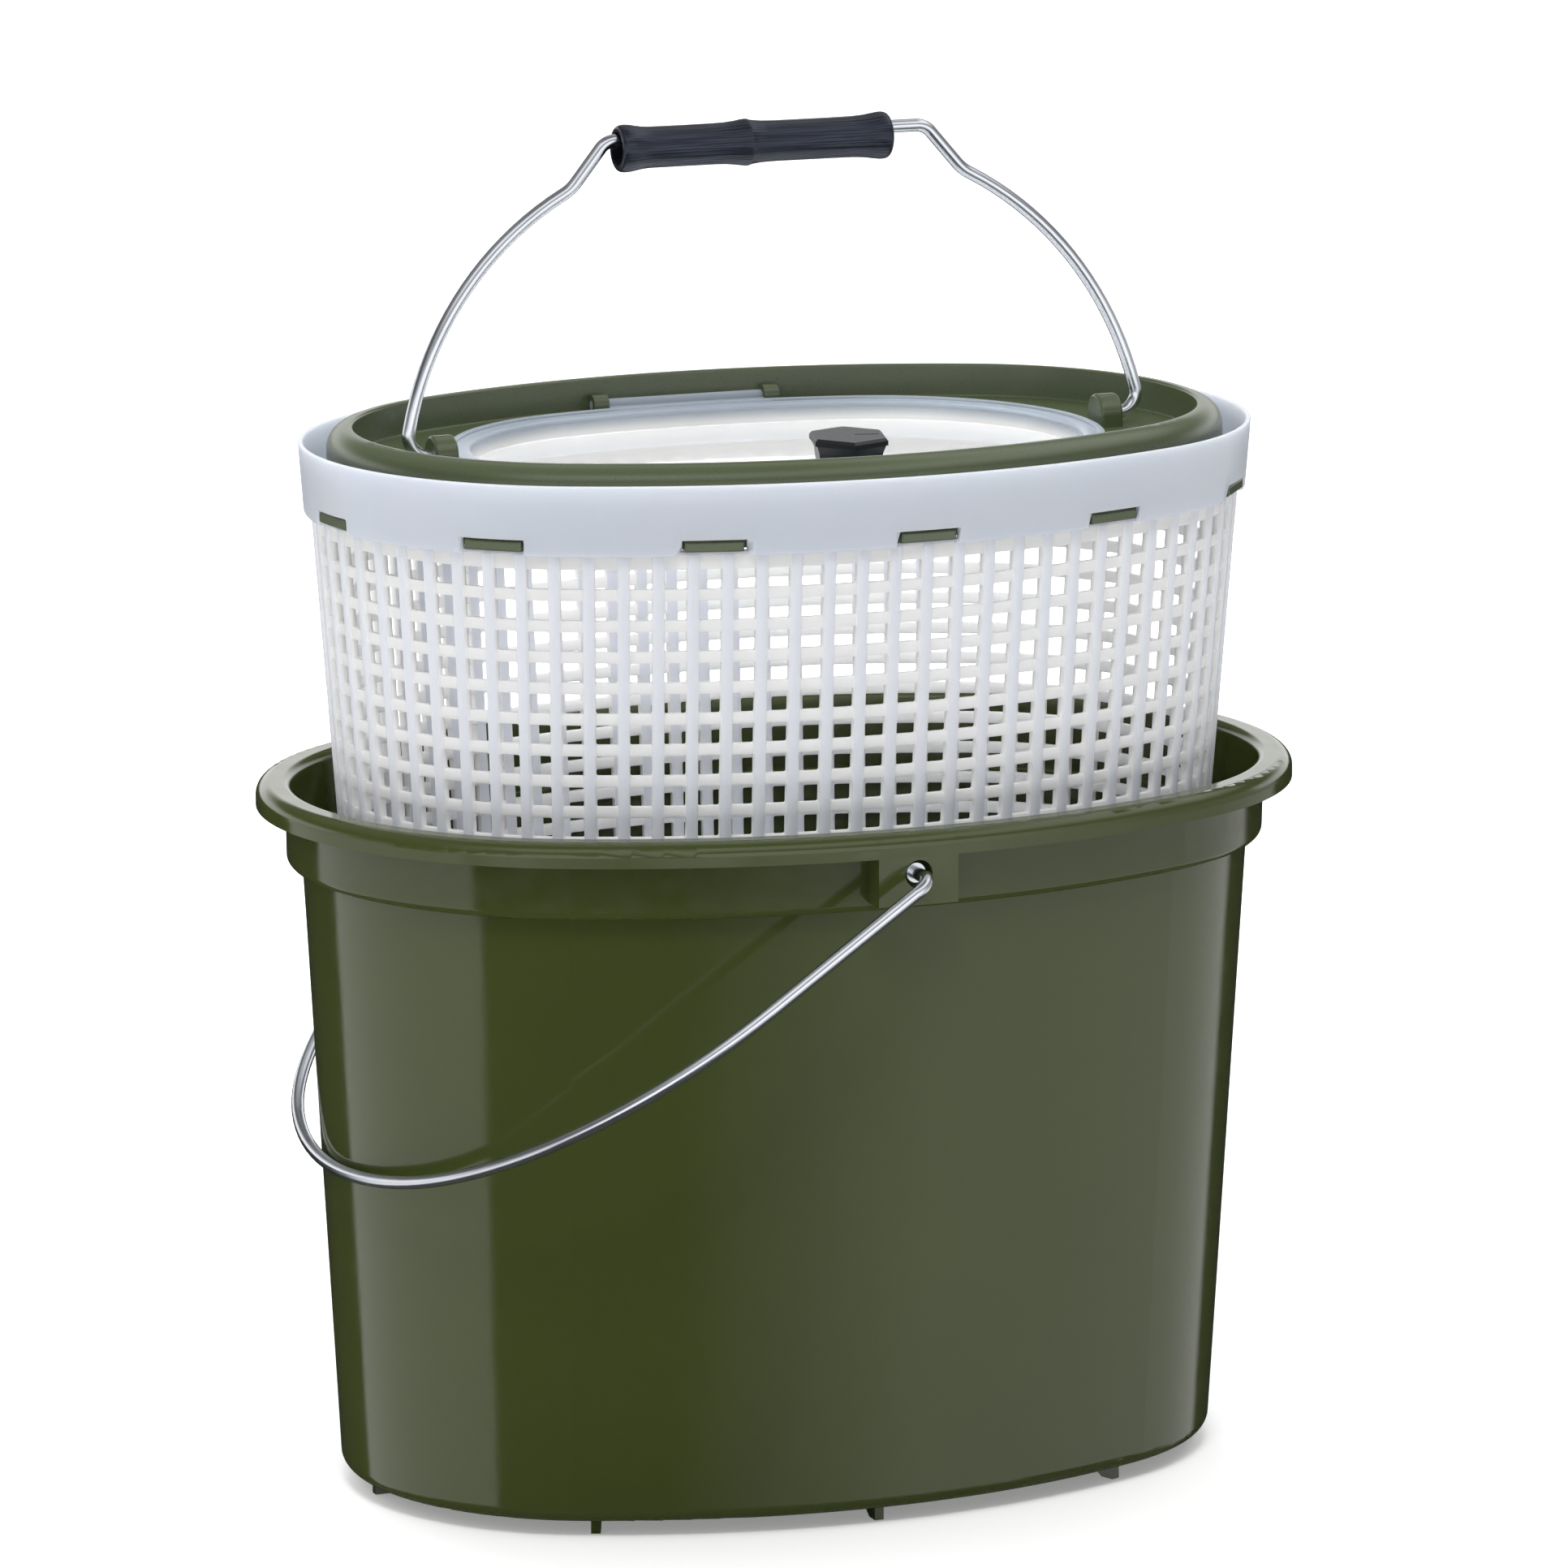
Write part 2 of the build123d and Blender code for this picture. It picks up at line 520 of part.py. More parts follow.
with BuildPart() as collar:
    rim_oval.wall(collar_section, collar_rounds)
    rim_oval.plate(RECESS_FOOT_INSET + DECK_STUB - 1, DECK_Z - DECK_THICKNESS, DECK_THICKNESS)

    # lip round the lid's opening, which the latch tongue turns under
    lid_oval.plate(opening_inset - COLLAR_WALL, lip_bottom, DECK_Z - root - lip_bottom)
    lid_oval.plate(opening_inset, lip_bottom - 1, DECK_Z - lip_bottom + 2, mode=Mode.SUBTRACT)

    # tabs through the band's slots, and lugs with their bores open to the outside
    with Locations(*rim_oval.stations(BAND_INSET, TAB_Z, TAB_COUNT, TAB_START)):
        add(tab.part)
    with Locations((LUG_X, 0, LUG_PIVOT_Z), Location((-LUG_X, 0, LUG_PIVOT_Z), (0, 0, 180))):
        add(lug.part)

    # bosses for the lid's hinge pins, against the recess wall
    for side in (-1, 1):
        boss_face = Plane(
            origin=(side * HINGE_SPACING / 2 - HINGE_BOSS_WIDTH / 2, HINGE_Y, HINGE_Z),
            x_dir=(0, 1, 0),
            z_dir=(1, 0, 0),
        )
        with BuildSketch(boss_face) as boss:
            Circle(HINGE_BOSS_RADIUS)
            with Locations((0, -(HINGE_HEIGHT + root) / 2)):
                Rectangle(2 * HINGE_BOSS_RADIUS, HINGE_HEIGHT + root)
            with Locations((0, -HINGE_HEIGHT - root - HINGE_BOSS_RADIUS)):
                Rectangle(4 * HINGE_BOSS_RADIUS, 2 * HINGE_BOSS_RADIUS, mode=Mode.SUBTRACT)
            Circle(HINGE_PIN_RADIUS + RUNNING_GAP, mode=Mode.SUBTRACT)
        extrude(amount=HINGE_BOSS_WIDTH)

collar.part.label = "collar"


# ---------------------------------------------------------------- basket bail
# Each leg is one arc from the foot to the shoulder, where an S-bend steps up to the top.
foot = Vector(LUG_X + BASKET_BAIL_FOOT_GAP, 0)
wire_end_x = LUG_X - LUG_THICKNESS / 2 + LUG_END_WALL + BAIL_END_GAP
top_x = GRIP_LENGTH / 2 + abs(GRIP_SLIDE) + GRIP_PLAY
rise_angle = math.radians(SHOULDER_RISE)
shoulder = Vector(top_x + SHOULDER_DROP / math.tan(rise_angle), BASKET_BAIL_REACH - SHOULDER_DROP)

# the leg's circle, from its chord and its bow
chord = shoulder - foot
leg_radius = (chord.length**2 / 4 + BASKET_BAIL_LEG_BOW**2) / (2 * BASKET_BAIL_LEG_BOW)
outward = Vector(chord.Y, -chord.X).normalized()
leg_centre = (foot + shoulder) * 0.5 - outward * (leg_radius - BASKET_BAIL_LEG_BOW)
foot_angle = math.atan2(foot.Y - leg_centre.Y, foot.X - leg_centre.X) + LEG_STRAIGHT / leg_radius
shoulder_angle = math.atan2(shoulder.Y - leg_centre.Y, shoulder.X - leg_centre.X) - SHOULDER_STRAIGHT / leg_radius
leg_start = leg_centre + Vector(math.cos(foot_angle), math.sin(foot_angle)) * leg_radius
leg_end = leg_centre + Vector(math.cos(shoulder_angle), math.sin(shoulder_angle)) * leg_radius
leg_sweep = math.degrees(shoulder_angle - foot_angle)

# local x is +X, and local y runs from the pivot up to the grip
upright = Plane(origin=(0, 0, LUG_PIVOT_Z), x_dir=(1, 0, 0), z_dir=(0, -1, 0))
leaning = upright.rotated((-BAIL_LEAN, 0, 0))

with BuildPart() as basket_bail:
    with BuildLine(leaning) as basket_bail_path:
        for side in (1, -1):
            FilletPolyline(
                (side * wire_end_x, 0),
                (side * (leg_start.X + leg_start.Y * math.tan(foot_angle)), 0),
                (side * leg_start.X, leg_start.Y),
                radius=BAIL_BEND_RADIUS,
            )
            FilletPolyline(
                (side * leg_end.X, leg_end.Y),
                (side * shoulder.X, shoulder.Y),
                (side * top_x, BASKET_BAIL_REACH),
                (0, BASKET_BAIL_REACH),
                radius=[SHOULDER_BEND_RADIUS, TOP_BEND_RADIUS],
            )
        leg_tilt = math.degrees(foot_angle)
        CenterArc((leg_centre.X, leg_centre.Y), leg_radius, leg_tilt, leg_sweep)
        CenterArc((-leg_centre.X, leg_centre.Y), leg_radius, 180 - leg_tilt - leg_sweep, leg_sweep)
    basket_wire = basket_bail_path.wire()
    with BuildSketch(Plane(origin=basket_wire @ 0, z_dir=basket_wire % 0)):
        Circle(WIRE_RADIUS)
    sweep(path=basket_wire)

basket_bail.part.label = "basket_bail"


# ---------------------------------------------------------------- bail grip
# The bore is wider than the wire, so the grip hangs with the wire near the top of its bore.
grip_drop = GRIP_BORE_RADIUS - WIRE_RADIUS - GRIP_HANG_GAP
grip_origin = leaning.from_local_coords(Vector(GRIP_SLIDE, BASKET_BAIL_REACH - grip_drop))
grip_side = Plane(origin=grip_origin, x_dir=leaning.x_dir, z_dir=leaning.z_dir)
half_grip = GRIP_LENGTH / 2
grip_outline = [
    (-half_grip, GRIP_BORE_RADIUS),
    (-half_grip, GRIP_END_RADIUS),
    (-half_grip + GRIP_END_LENGTH, GRIP_END_RADIUS),
    (-half_grip + 2 * GRIP_END_LENGTH, GRIP_BODY_RADIUS),
    (-GRIP_KNUCKLE_LENGTH, GRIP_BODY_RADIUS),
    (-GRIP_KNUCKLE_LENGTH / 4, GRIP_KNUCKLE_RADIUS),
    (GRIP_KNUCKLE_LENGTH / 4, GRIP_BODY_RADIUS),
    (half_grip - 2 * GRIP_END_LENGTH, GRIP_BODY_RADIUS),
    (half_grip - GRIP_END_LENGTH, GRIP_END_RADIUS),
    (half_grip, GRIP_END_RADIUS),
    (half_grip, GRIP_BORE_RADIUS),
]
grip_rounds = [0, GRIP_END_ROUND, GRIP_END_LENGTH / 2, 2 * GRIP_END_LENGTH, 0, 1, 1]
grip_rounds += [2 * GRIP_END_LENGTH, GRIP_END_LENGTH / 2, GRIP_END_ROUND, 0]

with BuildPart() as bail_grip:
    with BuildSketch(grip_side):
        with BuildLine():
            FilletPolyline(*grip_outline, radius=grip_rounds, close=True)
        make_face()
    revolve(axis=Axis(grip_origin, leaning.x_dir))

bail_grip.part.label = "bail_grip"


# ---------------------------------------------------------------- lid
flange_top = LID_Z + LID_WALL
lid_section = [
    (0, LID_Z),
    (0, flange_top + LID_BEAD_HEIGHT),
    (LID_BEAD_WIDTH, flange_top + LID_BEAD_HEIGHT),
    (LID_BEAD_WIDTH, flange_top),
    (LID_FLANGE_WIDTH, flange_top),
    (LID_FLANGE_WIDTH + LID_DISH_LEAN, DISH_Z + LID_WALL),
    (LID_FLANGE_WIDTH + LID_DISH_LEAN + BASE_STUB, DISH_Z + LID_WALL),
    (LID_FLANGE_WIDTH + LID_DISH_LEAN + BASE_STUB, DISH_Z),
    (LID_FLANGE_WIDTH + LID_DISH_LEAN - LID_WALL, DISH_Z),
    (LID_FLANGE_WIDTH - LID_WALL, LID_Z),
]
lid_rounds = [0, LID_BEAD_HEIGHT * 0.6, LID_BEAD_HEIGHT * 0.6, 0, SMALL_ROUND, SMALL_ROUND, 0, 0, SMALL_ROUND, 0]
leaf_width = HINGE_SPACING - HINGE_BOSS_WIDTH - 2 * HINGE_SIDE_GAP
pin_length = leaf_width + 2 * (HINGE_SIDE_GAP + HINGE_BOSS_WIDTH)

with BuildPart() as lid:
    lid_oval.wall(lid_section, lid_rounds)
    lid_oval.plate(LID_FLANGE_WIDTH + LID_DISH_LEAN + BASE_STUB - 1, DISH_Z, LID_WALL)
    with Locations((0, KNOB_Y, DISH_Z)):
        Cylinder(STEM_RADIUS + RUNNING_GAP, LID_WALL * 3, mode=Mode.SUBTRACT)

    # hinge leaf, barrel and pins behind the flange
    leaf_start = LID_WIDTH / 2 - LID_BEAD_WIDTH
    with BuildSketch(Plane.XY.offset(LID_Z)) as leaf:
        with Locations((0, (leaf_start + HINGE_Y) / 2)):
            Rectangle(leaf_width, HINGE_Y - leaf_start)
    extrude(amount=LID_WALL)
    with Locations(Plane(origin=(0, HINGE_Y, HINGE_Z), z_dir=(1, 0, 0))):
        Cylinder(HINGE_BARREL_RADIUS, leaf_width)
        Cylinder(HINGE_PIN_RADIUS, pin_length)

lid.part.label = "lid"


# ---------------------------------------------------------------- knob
# local y is the knob's long axis, which the mark crosses; the tongue below points like the mark
knob_turn = Location((0, KNOB_Y, 0), (0, 0, 1), KNOB_TURN)
neck_bottom = DISH_Z + LID_WALL + KNOB_SEAT_GAP
head_bottom = LID_Z + LID_WALL + LID_BEAD_HEIGHT + KNOB_FLANGE_GAP
tongue_top = DISH_Z - TONGUE_GAP
tongue_bottom = tongue_top - TONGUE_THICKNESS


def knob_hexagon(length, width):
    """The knob's six-sided outline: two points on the long axis and two parallel sides."""
    return [
        (0, length / 2),
        (width / 2, length / 4),
        (width / 2, -length / 4),
        (0, -length / 2),
        (-width / 2, -length / 4),
        (-width / 2, length / 4),
    ]


with BuildPart() as lid_knob:
    knob_plane = Plane(knob_turn)
    with BuildSketch(knob_plane.offset(KNOB_TOP_Z - KNOB_RIM)) as knob_top:
        with BuildLine():
            Polyline(*knob_hexagon(KNOB_LENGTH, KNOB_WIDTH), close=True)
        make_face()
    extrude(amount=KNOB_RIM)
    chamfer(lid_knob.faces().sort_by(Axis.Z)[-1].edges(), KNOB_CHAMFER)
    knob_sections = [
        (KNOB_TOP_Z - KNOB_RIM, KNOB_LENGTH - 2 * KNOB_UNDERCUT, KNOB_WIDTH - 2 * KNOB_UNDERCUT),
        ((KNOB_TOP_Z + head_bottom) / 2, KNOB_BASE_LENGTH + KNOB_WAIST, KNOB_BASE_WIDTH + KNOB_WAIST),
        (head_bottom, KNOB_BASE_LENGTH, KNOB_BASE_WIDTH),
    ]
    for (top, length, width), (bottom, foot_length, foot_width) in zip(knob_sections, knob_sections[1:]):
        with BuildSketch(knob_plane.offset(top)) as upper:
            with BuildLine():
                Polyline(*knob_hexagon(length, width), close=True)
            make_face()
        with BuildSketch(knob_plane.offset(bottom)) as lower:
            with BuildLine():
                Polyline(*knob_hexagon(foot_length, foot_width), close=True)
            make_face()
        loft(ruled=True)
    with BuildSketch(knob_plane.offset(KNOB_TOP_Z)) as mark:
        with Locations((KNOB_WIDTH / 4, 0)):
            Rectangle(KNOB_MARK_LENGTH, KNOB_MARK_WIDTH)
    extrude(amount=-KNOB_MARK_DEPTH, mode=Mode.SUBTRACT)

    # neck down to the dish, and stem through the lid
    with BuildSketch(knob_plane.offset(neck_bottom)) as neck:
        Circle(KNOB_NECK_RADIUS)
    extrude(amount=head_bottom + KNOB_RIM - neck_bottom)
    stem_bottom = tongue_bottom - STEM_TIP
    with BuildSketch(knob_plane.offset(stem_bottom)) as stem:
        Circle(STEM_RADIUS)
    extrude(amount=head_bottom - stem_bottom)

lid_knob.part.label = "lid_knob"


# ---------------------------------------------------------------- latch tongue
with BuildPart() as latch_tongue:
    with BuildSketch(knob_plane.offset(tongue_bottom)) as tongue:
        Circle(TONGUE_HUB_RADIUS)
        with Locations(((TONGUE_LENGTH - TONGUE_WIDTH / 2) / 2, 0)):
            Rectangle(TONGUE_LENGTH - TONGUE_WIDTH / 2, TONGUE_WIDTH)
        with Locations((TONGUE_LENGTH - TONGUE_WIDTH / 2, 0)):
            Circle(TONGUE_WIDTH / 2)
        Circle(STEM_RADIUS, mode=Mode.SUBTRACT)
    extrude(amount=TONGUE_THICKNESS)

latch_tongue.part.label = "latch_tongue"


# ---------------------------------------------------------------- files
os.makedirs("parts", exist_ok=True)
export_step(bucket.part, "parts/bucket.step")
export_step(bucket_bail.part, "parts/bucket_bail.step")
export_step(basket.part, "parts/basket.step")
export_step(collar.part, "parts/collar.step")
export_step(basket_bail.part, "parts/basket_bail.step")
export_step(bail_grip.part, "parts/bail_grip.step")
export_step(lid.part, "parts/lid.step")
export_step(lid_knob.part, "parts/lid_knob.step")
export_step(latch_tongue.part, "parts/latch_tongue.step")
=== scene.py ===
# %% [markdown]
# # An oval bait bucket with a lift-out basket
# The solids of the bucket, basket, collar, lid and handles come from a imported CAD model, in
# metres, with +Z up and the front towards -Y. This script dresses them: it keeps the solids
# whose shape is right and gives them real finishes, and it builds the fine lattice basket and
# the grained grip as new meshes in the same place.

import math
import random

import bmesh
import bpy
import numpy as np
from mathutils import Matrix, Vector


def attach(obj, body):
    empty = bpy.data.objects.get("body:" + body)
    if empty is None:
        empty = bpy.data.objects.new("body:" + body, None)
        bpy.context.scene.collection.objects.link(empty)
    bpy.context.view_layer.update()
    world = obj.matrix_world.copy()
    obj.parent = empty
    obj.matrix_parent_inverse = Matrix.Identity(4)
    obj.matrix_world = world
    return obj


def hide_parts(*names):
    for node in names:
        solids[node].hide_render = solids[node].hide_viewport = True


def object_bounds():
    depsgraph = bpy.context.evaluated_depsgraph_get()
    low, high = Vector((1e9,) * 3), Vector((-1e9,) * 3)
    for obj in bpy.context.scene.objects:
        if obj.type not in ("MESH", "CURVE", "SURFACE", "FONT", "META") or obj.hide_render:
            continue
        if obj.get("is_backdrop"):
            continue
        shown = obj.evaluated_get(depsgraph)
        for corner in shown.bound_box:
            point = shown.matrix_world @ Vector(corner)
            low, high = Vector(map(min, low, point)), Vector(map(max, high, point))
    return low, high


MM = 0.001
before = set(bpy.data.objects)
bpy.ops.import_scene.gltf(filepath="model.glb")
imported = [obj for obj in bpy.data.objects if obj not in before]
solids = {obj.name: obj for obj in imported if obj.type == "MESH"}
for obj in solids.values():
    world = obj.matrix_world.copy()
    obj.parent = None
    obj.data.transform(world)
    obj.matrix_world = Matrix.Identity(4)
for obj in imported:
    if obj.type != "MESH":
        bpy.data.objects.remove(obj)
cad_low, cad_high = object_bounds()
print("solids:", sorted(solids))
print("CAD box in mm:", [round(v / MM, 1) for v in (*cad_low, *cad_high)])

# %% [markdown]
# ## Camera
# A long lens from the front left, a little above the rim, keeps the oval's sides nearly
# parallel. The camera looks at a point halfway up, and a small shift centres the frame.

# %% Camera
AZIMUTH = math.radians(-21.44)
ELEVATION = math.radians(11.30)
DISTANCE = 3.3288
AIM = Vector((0, 0, 0.2397))

back = Vector((
    math.sin(AZIMUTH) * math.cos(ELEVATION),
    -math.cos(AZIMUTH) * math.cos(ELEVATION),
    math.sin(ELEVATION),
))
camera_data = bpy.data.cameras.new("camera")
camera_data.lens = 225.9
camera_data.sensor_width = 36.0
camera_data.shift_x = 0.0040
camera_data.shift_y = -0.0112
camera = bpy.data.objects.new("camera", camera_data)
bpy.context.scene.collection.objects.link(camera)
camera.location = AIM + back * DISTANCE
camera.rotation_mode = "QUATERNION"
camera.rotation_quaternion = (-back).to_track_quat("-Z", "Y")
bpy.context.scene.camera = camera
print("camera", [round(v, 3) for v in camera.location])

# %% [markdown]
# ## Two small helpers for materials
# Colours are written as sRGB hex, as a paint chart gives them, and turned to the linear values
# that shaders add up. Every node is made by one function, which sets it and links it.

# %% Colour and node helpers
def linear(hex_code):
    """An sRGB hex colour as linear RGBA."""
    channels = [int(hex_code[i : i + 2], 16) / 255 for i in (0, 2, 4)]
    return (*[c / 12.92 if c <= 0.04045 else ((c + 0.055) / 1.055) ** 2.4 for c in channels], 1.0)


def node(tree, kind, settings=None, sockets=None):
    """Adds a node, sets its properties, and fills or links its input sockets."""
    made = tree.nodes.new(kind)
    for name, value in (settings or {}).items():
        setattr(made, name, value)
    for key, value in (sockets or {}).items():
        if isinstance(value, bpy.types.NodeSocket):
            tree.links.new(value, made.inputs[key])
        else:
            made.inputs[key].default_value = value
    return made


def material(name, **settings):
    """A new material with one Principled shader, whose constants are set on its own sockets."""
    made = bpy.data.materials.new(name)
    made.use_nodes = True
    shader = made.node_tree.nodes["Principled BSDF"]
    for key, value in settings.items():
        shader.inputs[key.replace("_", " ")].default_value = value
    return made, made.node_tree, shader


def ramp_stops(ramp, stops):
    """Sets a colour ramp's stops from (place, colour) pairs."""
    elements = ramp.color_ramp.elements
    while len(elements) < len(stops):
        elements.new(0.5)
    for element, (place, colour) in zip(elements, stops):
        element.position = place
        element.color = colour


def dress(piece, finish):
    """Gives every material slot of a piece this finish."""
    piece.data.materials.clear()
    piece.data.materials.append(finish)


# %% [markdown]
# ## Glossy polypropylene
# The bucket is injection moulded in a polished mould, so it mirrors the lamps in bands with
# quite sharp edges. Polypropylene has an IOR near 1.49. The colour drifts a little where the
# melt flowed, and a low swell of the wall bends the reflections.

# %% Bucket finish
bucket_finish, tree, shader = material(
    "gloss_polypropylene_olive", IOR=1.49, Specular_IOR_Level=0.5
)
place = node(tree, "ShaderNodeTexCoord").outputs["Object"]
flow = node(tree, "ShaderNodeTexNoise", sockets={"Vector": place, "Scale": 1 / (60 * MM), "Detail": 2.0})
tint = node(
    tree,
    "ShaderNodeMix",
    {"data_type": "RGBA"},
    {"Factor": flow.outputs["Fac"], "A": linear("3B4320"), "B": linear("3F4621")},
)
scuffs = node(tree, "ShaderNodeTexNoise", sockets={"Vector": place, "Scale": 1 / (7 * MM), "Detail": 6.0})
gloss = node(
    tree,
    "ShaderNodeMapRange",
    sockets={
        "Value": scuffs.outputs["Fac"],
        "From Min": 0.3,
        "From Max": 0.75,
        "To Min": 0.07,
        "To Max": 0.15,
    },
)
swell = node(tree, "ShaderNodeTexNoise", sockets={"Vector": place, "Scale": 1 / (26 * MM), "Detail": 1.0})
wall = node(
    tree,
    "ShaderNodeBump",
    sockets={"Height": swell.outputs["Fac"], "Strength": 0.12, "Distance": 1.2 * MM},
)
tree.links.new(tint.outputs["Result"], shader.inputs["Base Color"])
tree.links.new(gloss.outputs["Result"], shader.inputs["Roughness"])
tree.links.new(wall.outputs["Normal"], shader.inputs["Normal"])
dress(solids["bucket"], bucket_finish)
print("finish", bucket_finish.name)

# %% [markdown]
# ## Satin polypropylene
# The collar is the same plastic from a spark-eroded mould, which leaves a fine satin grain.
# The grain's real grit is about 0.05 mm, too fine to show, so it is drawn at 0.5 mm.

# %% Collar finish
collar_finish, tree, shader = material(
    "satin_polypropylene_olive", IOR=1.49, Specular_IOR_Level=0.7
)
place = node(tree, "ShaderNodeTexCoord").outputs["Object"]
flow = node(tree, "ShaderNodeTexNoise", sockets={"Vector": place, "Scale": 1 / (35 * MM), "Detail": 2.0})
tint = node(
    tree,
    "ShaderNodeMix",
    {"data_type": "RGBA"},
    {"Factor": flow.outputs["Fac"], "A": linear("464F35"), "B": linear("4D573C")},
)
grit = node(tree, "ShaderNodeTexNoise", sockets={"Vector": place, "Scale": 1 / (0.5 * MM), "Detail": 2.0})
satin = node(
    tree,
    "ShaderNodeMapRange",
    sockets={"Value": grit.outputs["Fac"], "To Min": 0.24, "To Max": 0.34},
)
grain = node(
    tree,
    "ShaderNodeBump",
    sockets={"Height": grit.outputs["Fac"], "Strength": 0.25, "Distance": 0.05 * MM},
)
tree.links.new(tint.outputs["Result"], shader.inputs["Base Color"])
tree.links.new(satin.outputs["Result"], shader.inputs["Roughness"])
tree.links.new(grain.outputs["Normal"], shader.inputs["Normal"])
dress(solids["collar"], collar_finish)
print("finish", collar_finish.name)

# %% [markdown]
# ## Natural polypropylene
# Unpigmented polypropylene is milky: light goes a few millimetres into it and comes out again,
# so thin bars glow where the light is behind them. Subsurface scattering gives that. On top of it,
# light and shade are painted into the colour. The band is painted greyer, as painted shade of the
# olive collar behind it, and the thin hoops are painted whitest, as a painted glow of the light
# through them. A value on the mesh's points says which is which: 0 on the band, 0.5 on the bars,
# 1 on the hoops.

# %% Basket finish
basket_finish, tree, shader = material(
    "natural_polypropylene",
    IOR=1.49,
    Subsurface_Weight=1.0,
    Subsurface_Radius=(1.0, 1.0, 1.0),
    Subsurface_Scale=6 * MM,
)
place = node(tree, "ShaderNodeTexCoord").outputs["Object"]
flow = node(tree, "ShaderNodeTexNoise", sockets={"Vector": place, "Scale": 1 / (40 * MM), "Detail": 3.0})
thin = node(tree, "ShaderNodeAttribute", {"attribute_name": "thin"})
tint = node(tree, "ShaderNodeValToRGB", sockets={"Fac": thin.outputs["Fac"]})
# Painted light and shade: the band is greyer for the collar's shade behind it, and the hoops are whitest for
# the glow of light through them.
ramp_stops(tint, [(0.0, linear("C9CFDB")), (0.5, linear("DDE0E9")), (1.0, linear("F6F5F4"))])
cloudy = node(
    tree,
    "ShaderNodeMix",
    {"data_type": "RGBA", "blend_type": "MULTIPLY"},
    {"Factor": 0.05, "A": tint.outputs["Color"], "B": flow.outputs["Color"]},
)
skin = node(tree, "ShaderNodeTexNoise", sockets={"Vector": place, "Scale": 1 / (1.2 * MM), "Detail": 2.0})
satin = node(
    tree,
    "ShaderNodeMapRange",
    sockets={"Value": skin.outputs["Fac"], "To Min": 0.3, "To Max": 0.42},
)
tree.links.new(cloudy.outputs["Result"], shader.inputs["Base Color"])
tree.links.new(satin.outputs["Result"], shader.inputs["Roughness"])
print("finish", basket_finish.name)

# %% [markdown]
# ## Clear polypropylene lid
# The lid is a thin moulding without pigment. It lets light through but scatters much of it, so
# the dish is a milky haze over the basket, and its thicker rolled rim shows as grey rings. The
# dish's near-white colour is partly that milkiness and partly painted light, which stands in for
# the lit basket seen through it. The height on the lid says which is which, since the dish lies
# lower than the rim. A path tracer finds little of the light that such a sheet lets through, so
# the lid casts no shadow here.

# %% Lid finish
lid_finish, tree, shader = material(
    "clear_polypropylene", IOR=1.45, Transmission_Weight=1.0
)
place = node(tree, "ShaderNodeTexCoord").outputs["Object"]
height = node(tree, "ShaderNodeSeparateXYZ", sockets={"Vector": place}).outputs["Z"]
DISH_TOP = 346.5
FLANGE_FOOT = 350.0
flange = node(
    tree,
    "ShaderNodeMapRange",
    sockets={"Value": height, "From Min": DISH_TOP * MM, "From Max": FLANGE_FOOT * MM},
).outputs["Result"]
# The dish's near-white is partly painted light for the bright basket under it, and the thicker rim is
# greyer.
milky_and_painted_light = node(
    tree,
    "ShaderNodeMix",
    {"data_type": "RGBA"},
    {"Factor": flange, "A": linear("FCFCFC"), "B": linear("C4CDD8")},
)
haze = node(
    tree,
    "ShaderNodeMapRange",
    sockets={"Value": flange, "To Min": 0.04, "To Max": 0.3},
)
frost = node(
    tree,
    "ShaderNodeMapRange",
    sockets={"Value": flange, "To Min": 0.52, "To Max": 0.62},
)
waves = node(tree, "ShaderNodeTexNoise", sockets={"Vector": place, "Scale": 1 / (14 * MM), "Detail": 2.0})
warp = node(
    tree,
    "ShaderNodeBump",
    sockets={"Height": waves.outputs["Fac"], "Strength": 0.3, "Distance": 0.12 * MM},
)
tree.links.new(milky_and_painted_light.outputs["Result"], shader.inputs["Base Color"])
tree.links.new(haze.outputs["Result"], shader.inputs["Roughness"])
tree.links.new(frost.outputs["Result"], shader.inputs["Transmission Weight"])
tree.links.new(warp.outputs["Normal"], shader.inputs["Normal"])
dress(solids["lid"], lid_finish)
solids["lid"].visible_shadow = False
print("finish", lid_finish.name)

# %% [markdown]
# ## Black nylon and black moulded grip
# The knob and its tongue are black nylon with a fine eroded grain. The grip is black
# polyethylene moulded with a wood-like grain, whose furrows run along it about 1 mm apart. Its
# colour is painted darker in the bottoms of the furrows, as painted shade, and varies at random
# along the grain.

# %% Knob finish
knob_finish, tree, shader = material("black_nylon", IOR=1.53, Specular_IOR_Level=0.4)
place = node(tree, "ShaderNodeTexCoord").outputs["Object"]
grit = node(tree, "ShaderNodeTexNoise", sockets={"Vector": place, "Scale": 1 / (0.6 * MM), "Detail": 3.0})
tint = node(
    tree,
    "ShaderNodeMix",
    {"data_type": "RGBA"},
    {"Factor": grit.outputs["Fac"], "A": linear("111217"), "B": linear("1D1F25")},
)
satin = node(
    tree,
    "ShaderNodeMapRange",
    sockets={"Value": grit.outputs["Fac"], "To Min": 0.3, "To Max": 0.5},
)
grain = node(
    tree,
    "ShaderNodeBump",
    sockets={"Height": grit.outputs["Fac"], "Strength": 0.5, "Distance": 0.08 * MM},
)
tree.links.new(tint.outputs["Result"], shader.inputs["Base Color"])
tree.links.new(satin.outputs["Result"], shader.inputs["Roughness"])
tree.links.new(grain.outputs["Normal"], shader.inputs["Normal"])
dress(solids["lid_knob"], knob_finish)
dress(solids["latch_tongue"], knob_finish)
print("finish", knob_finish.name)

# %% [markdown]
# ## Zinc-plated wire
# Both bails are 4.4 mm steel wire with a bright zinc plate. Drawing the wire leaves faint
# streaks along it, and zinc dulls in patches. A metal keeps the default IOR.

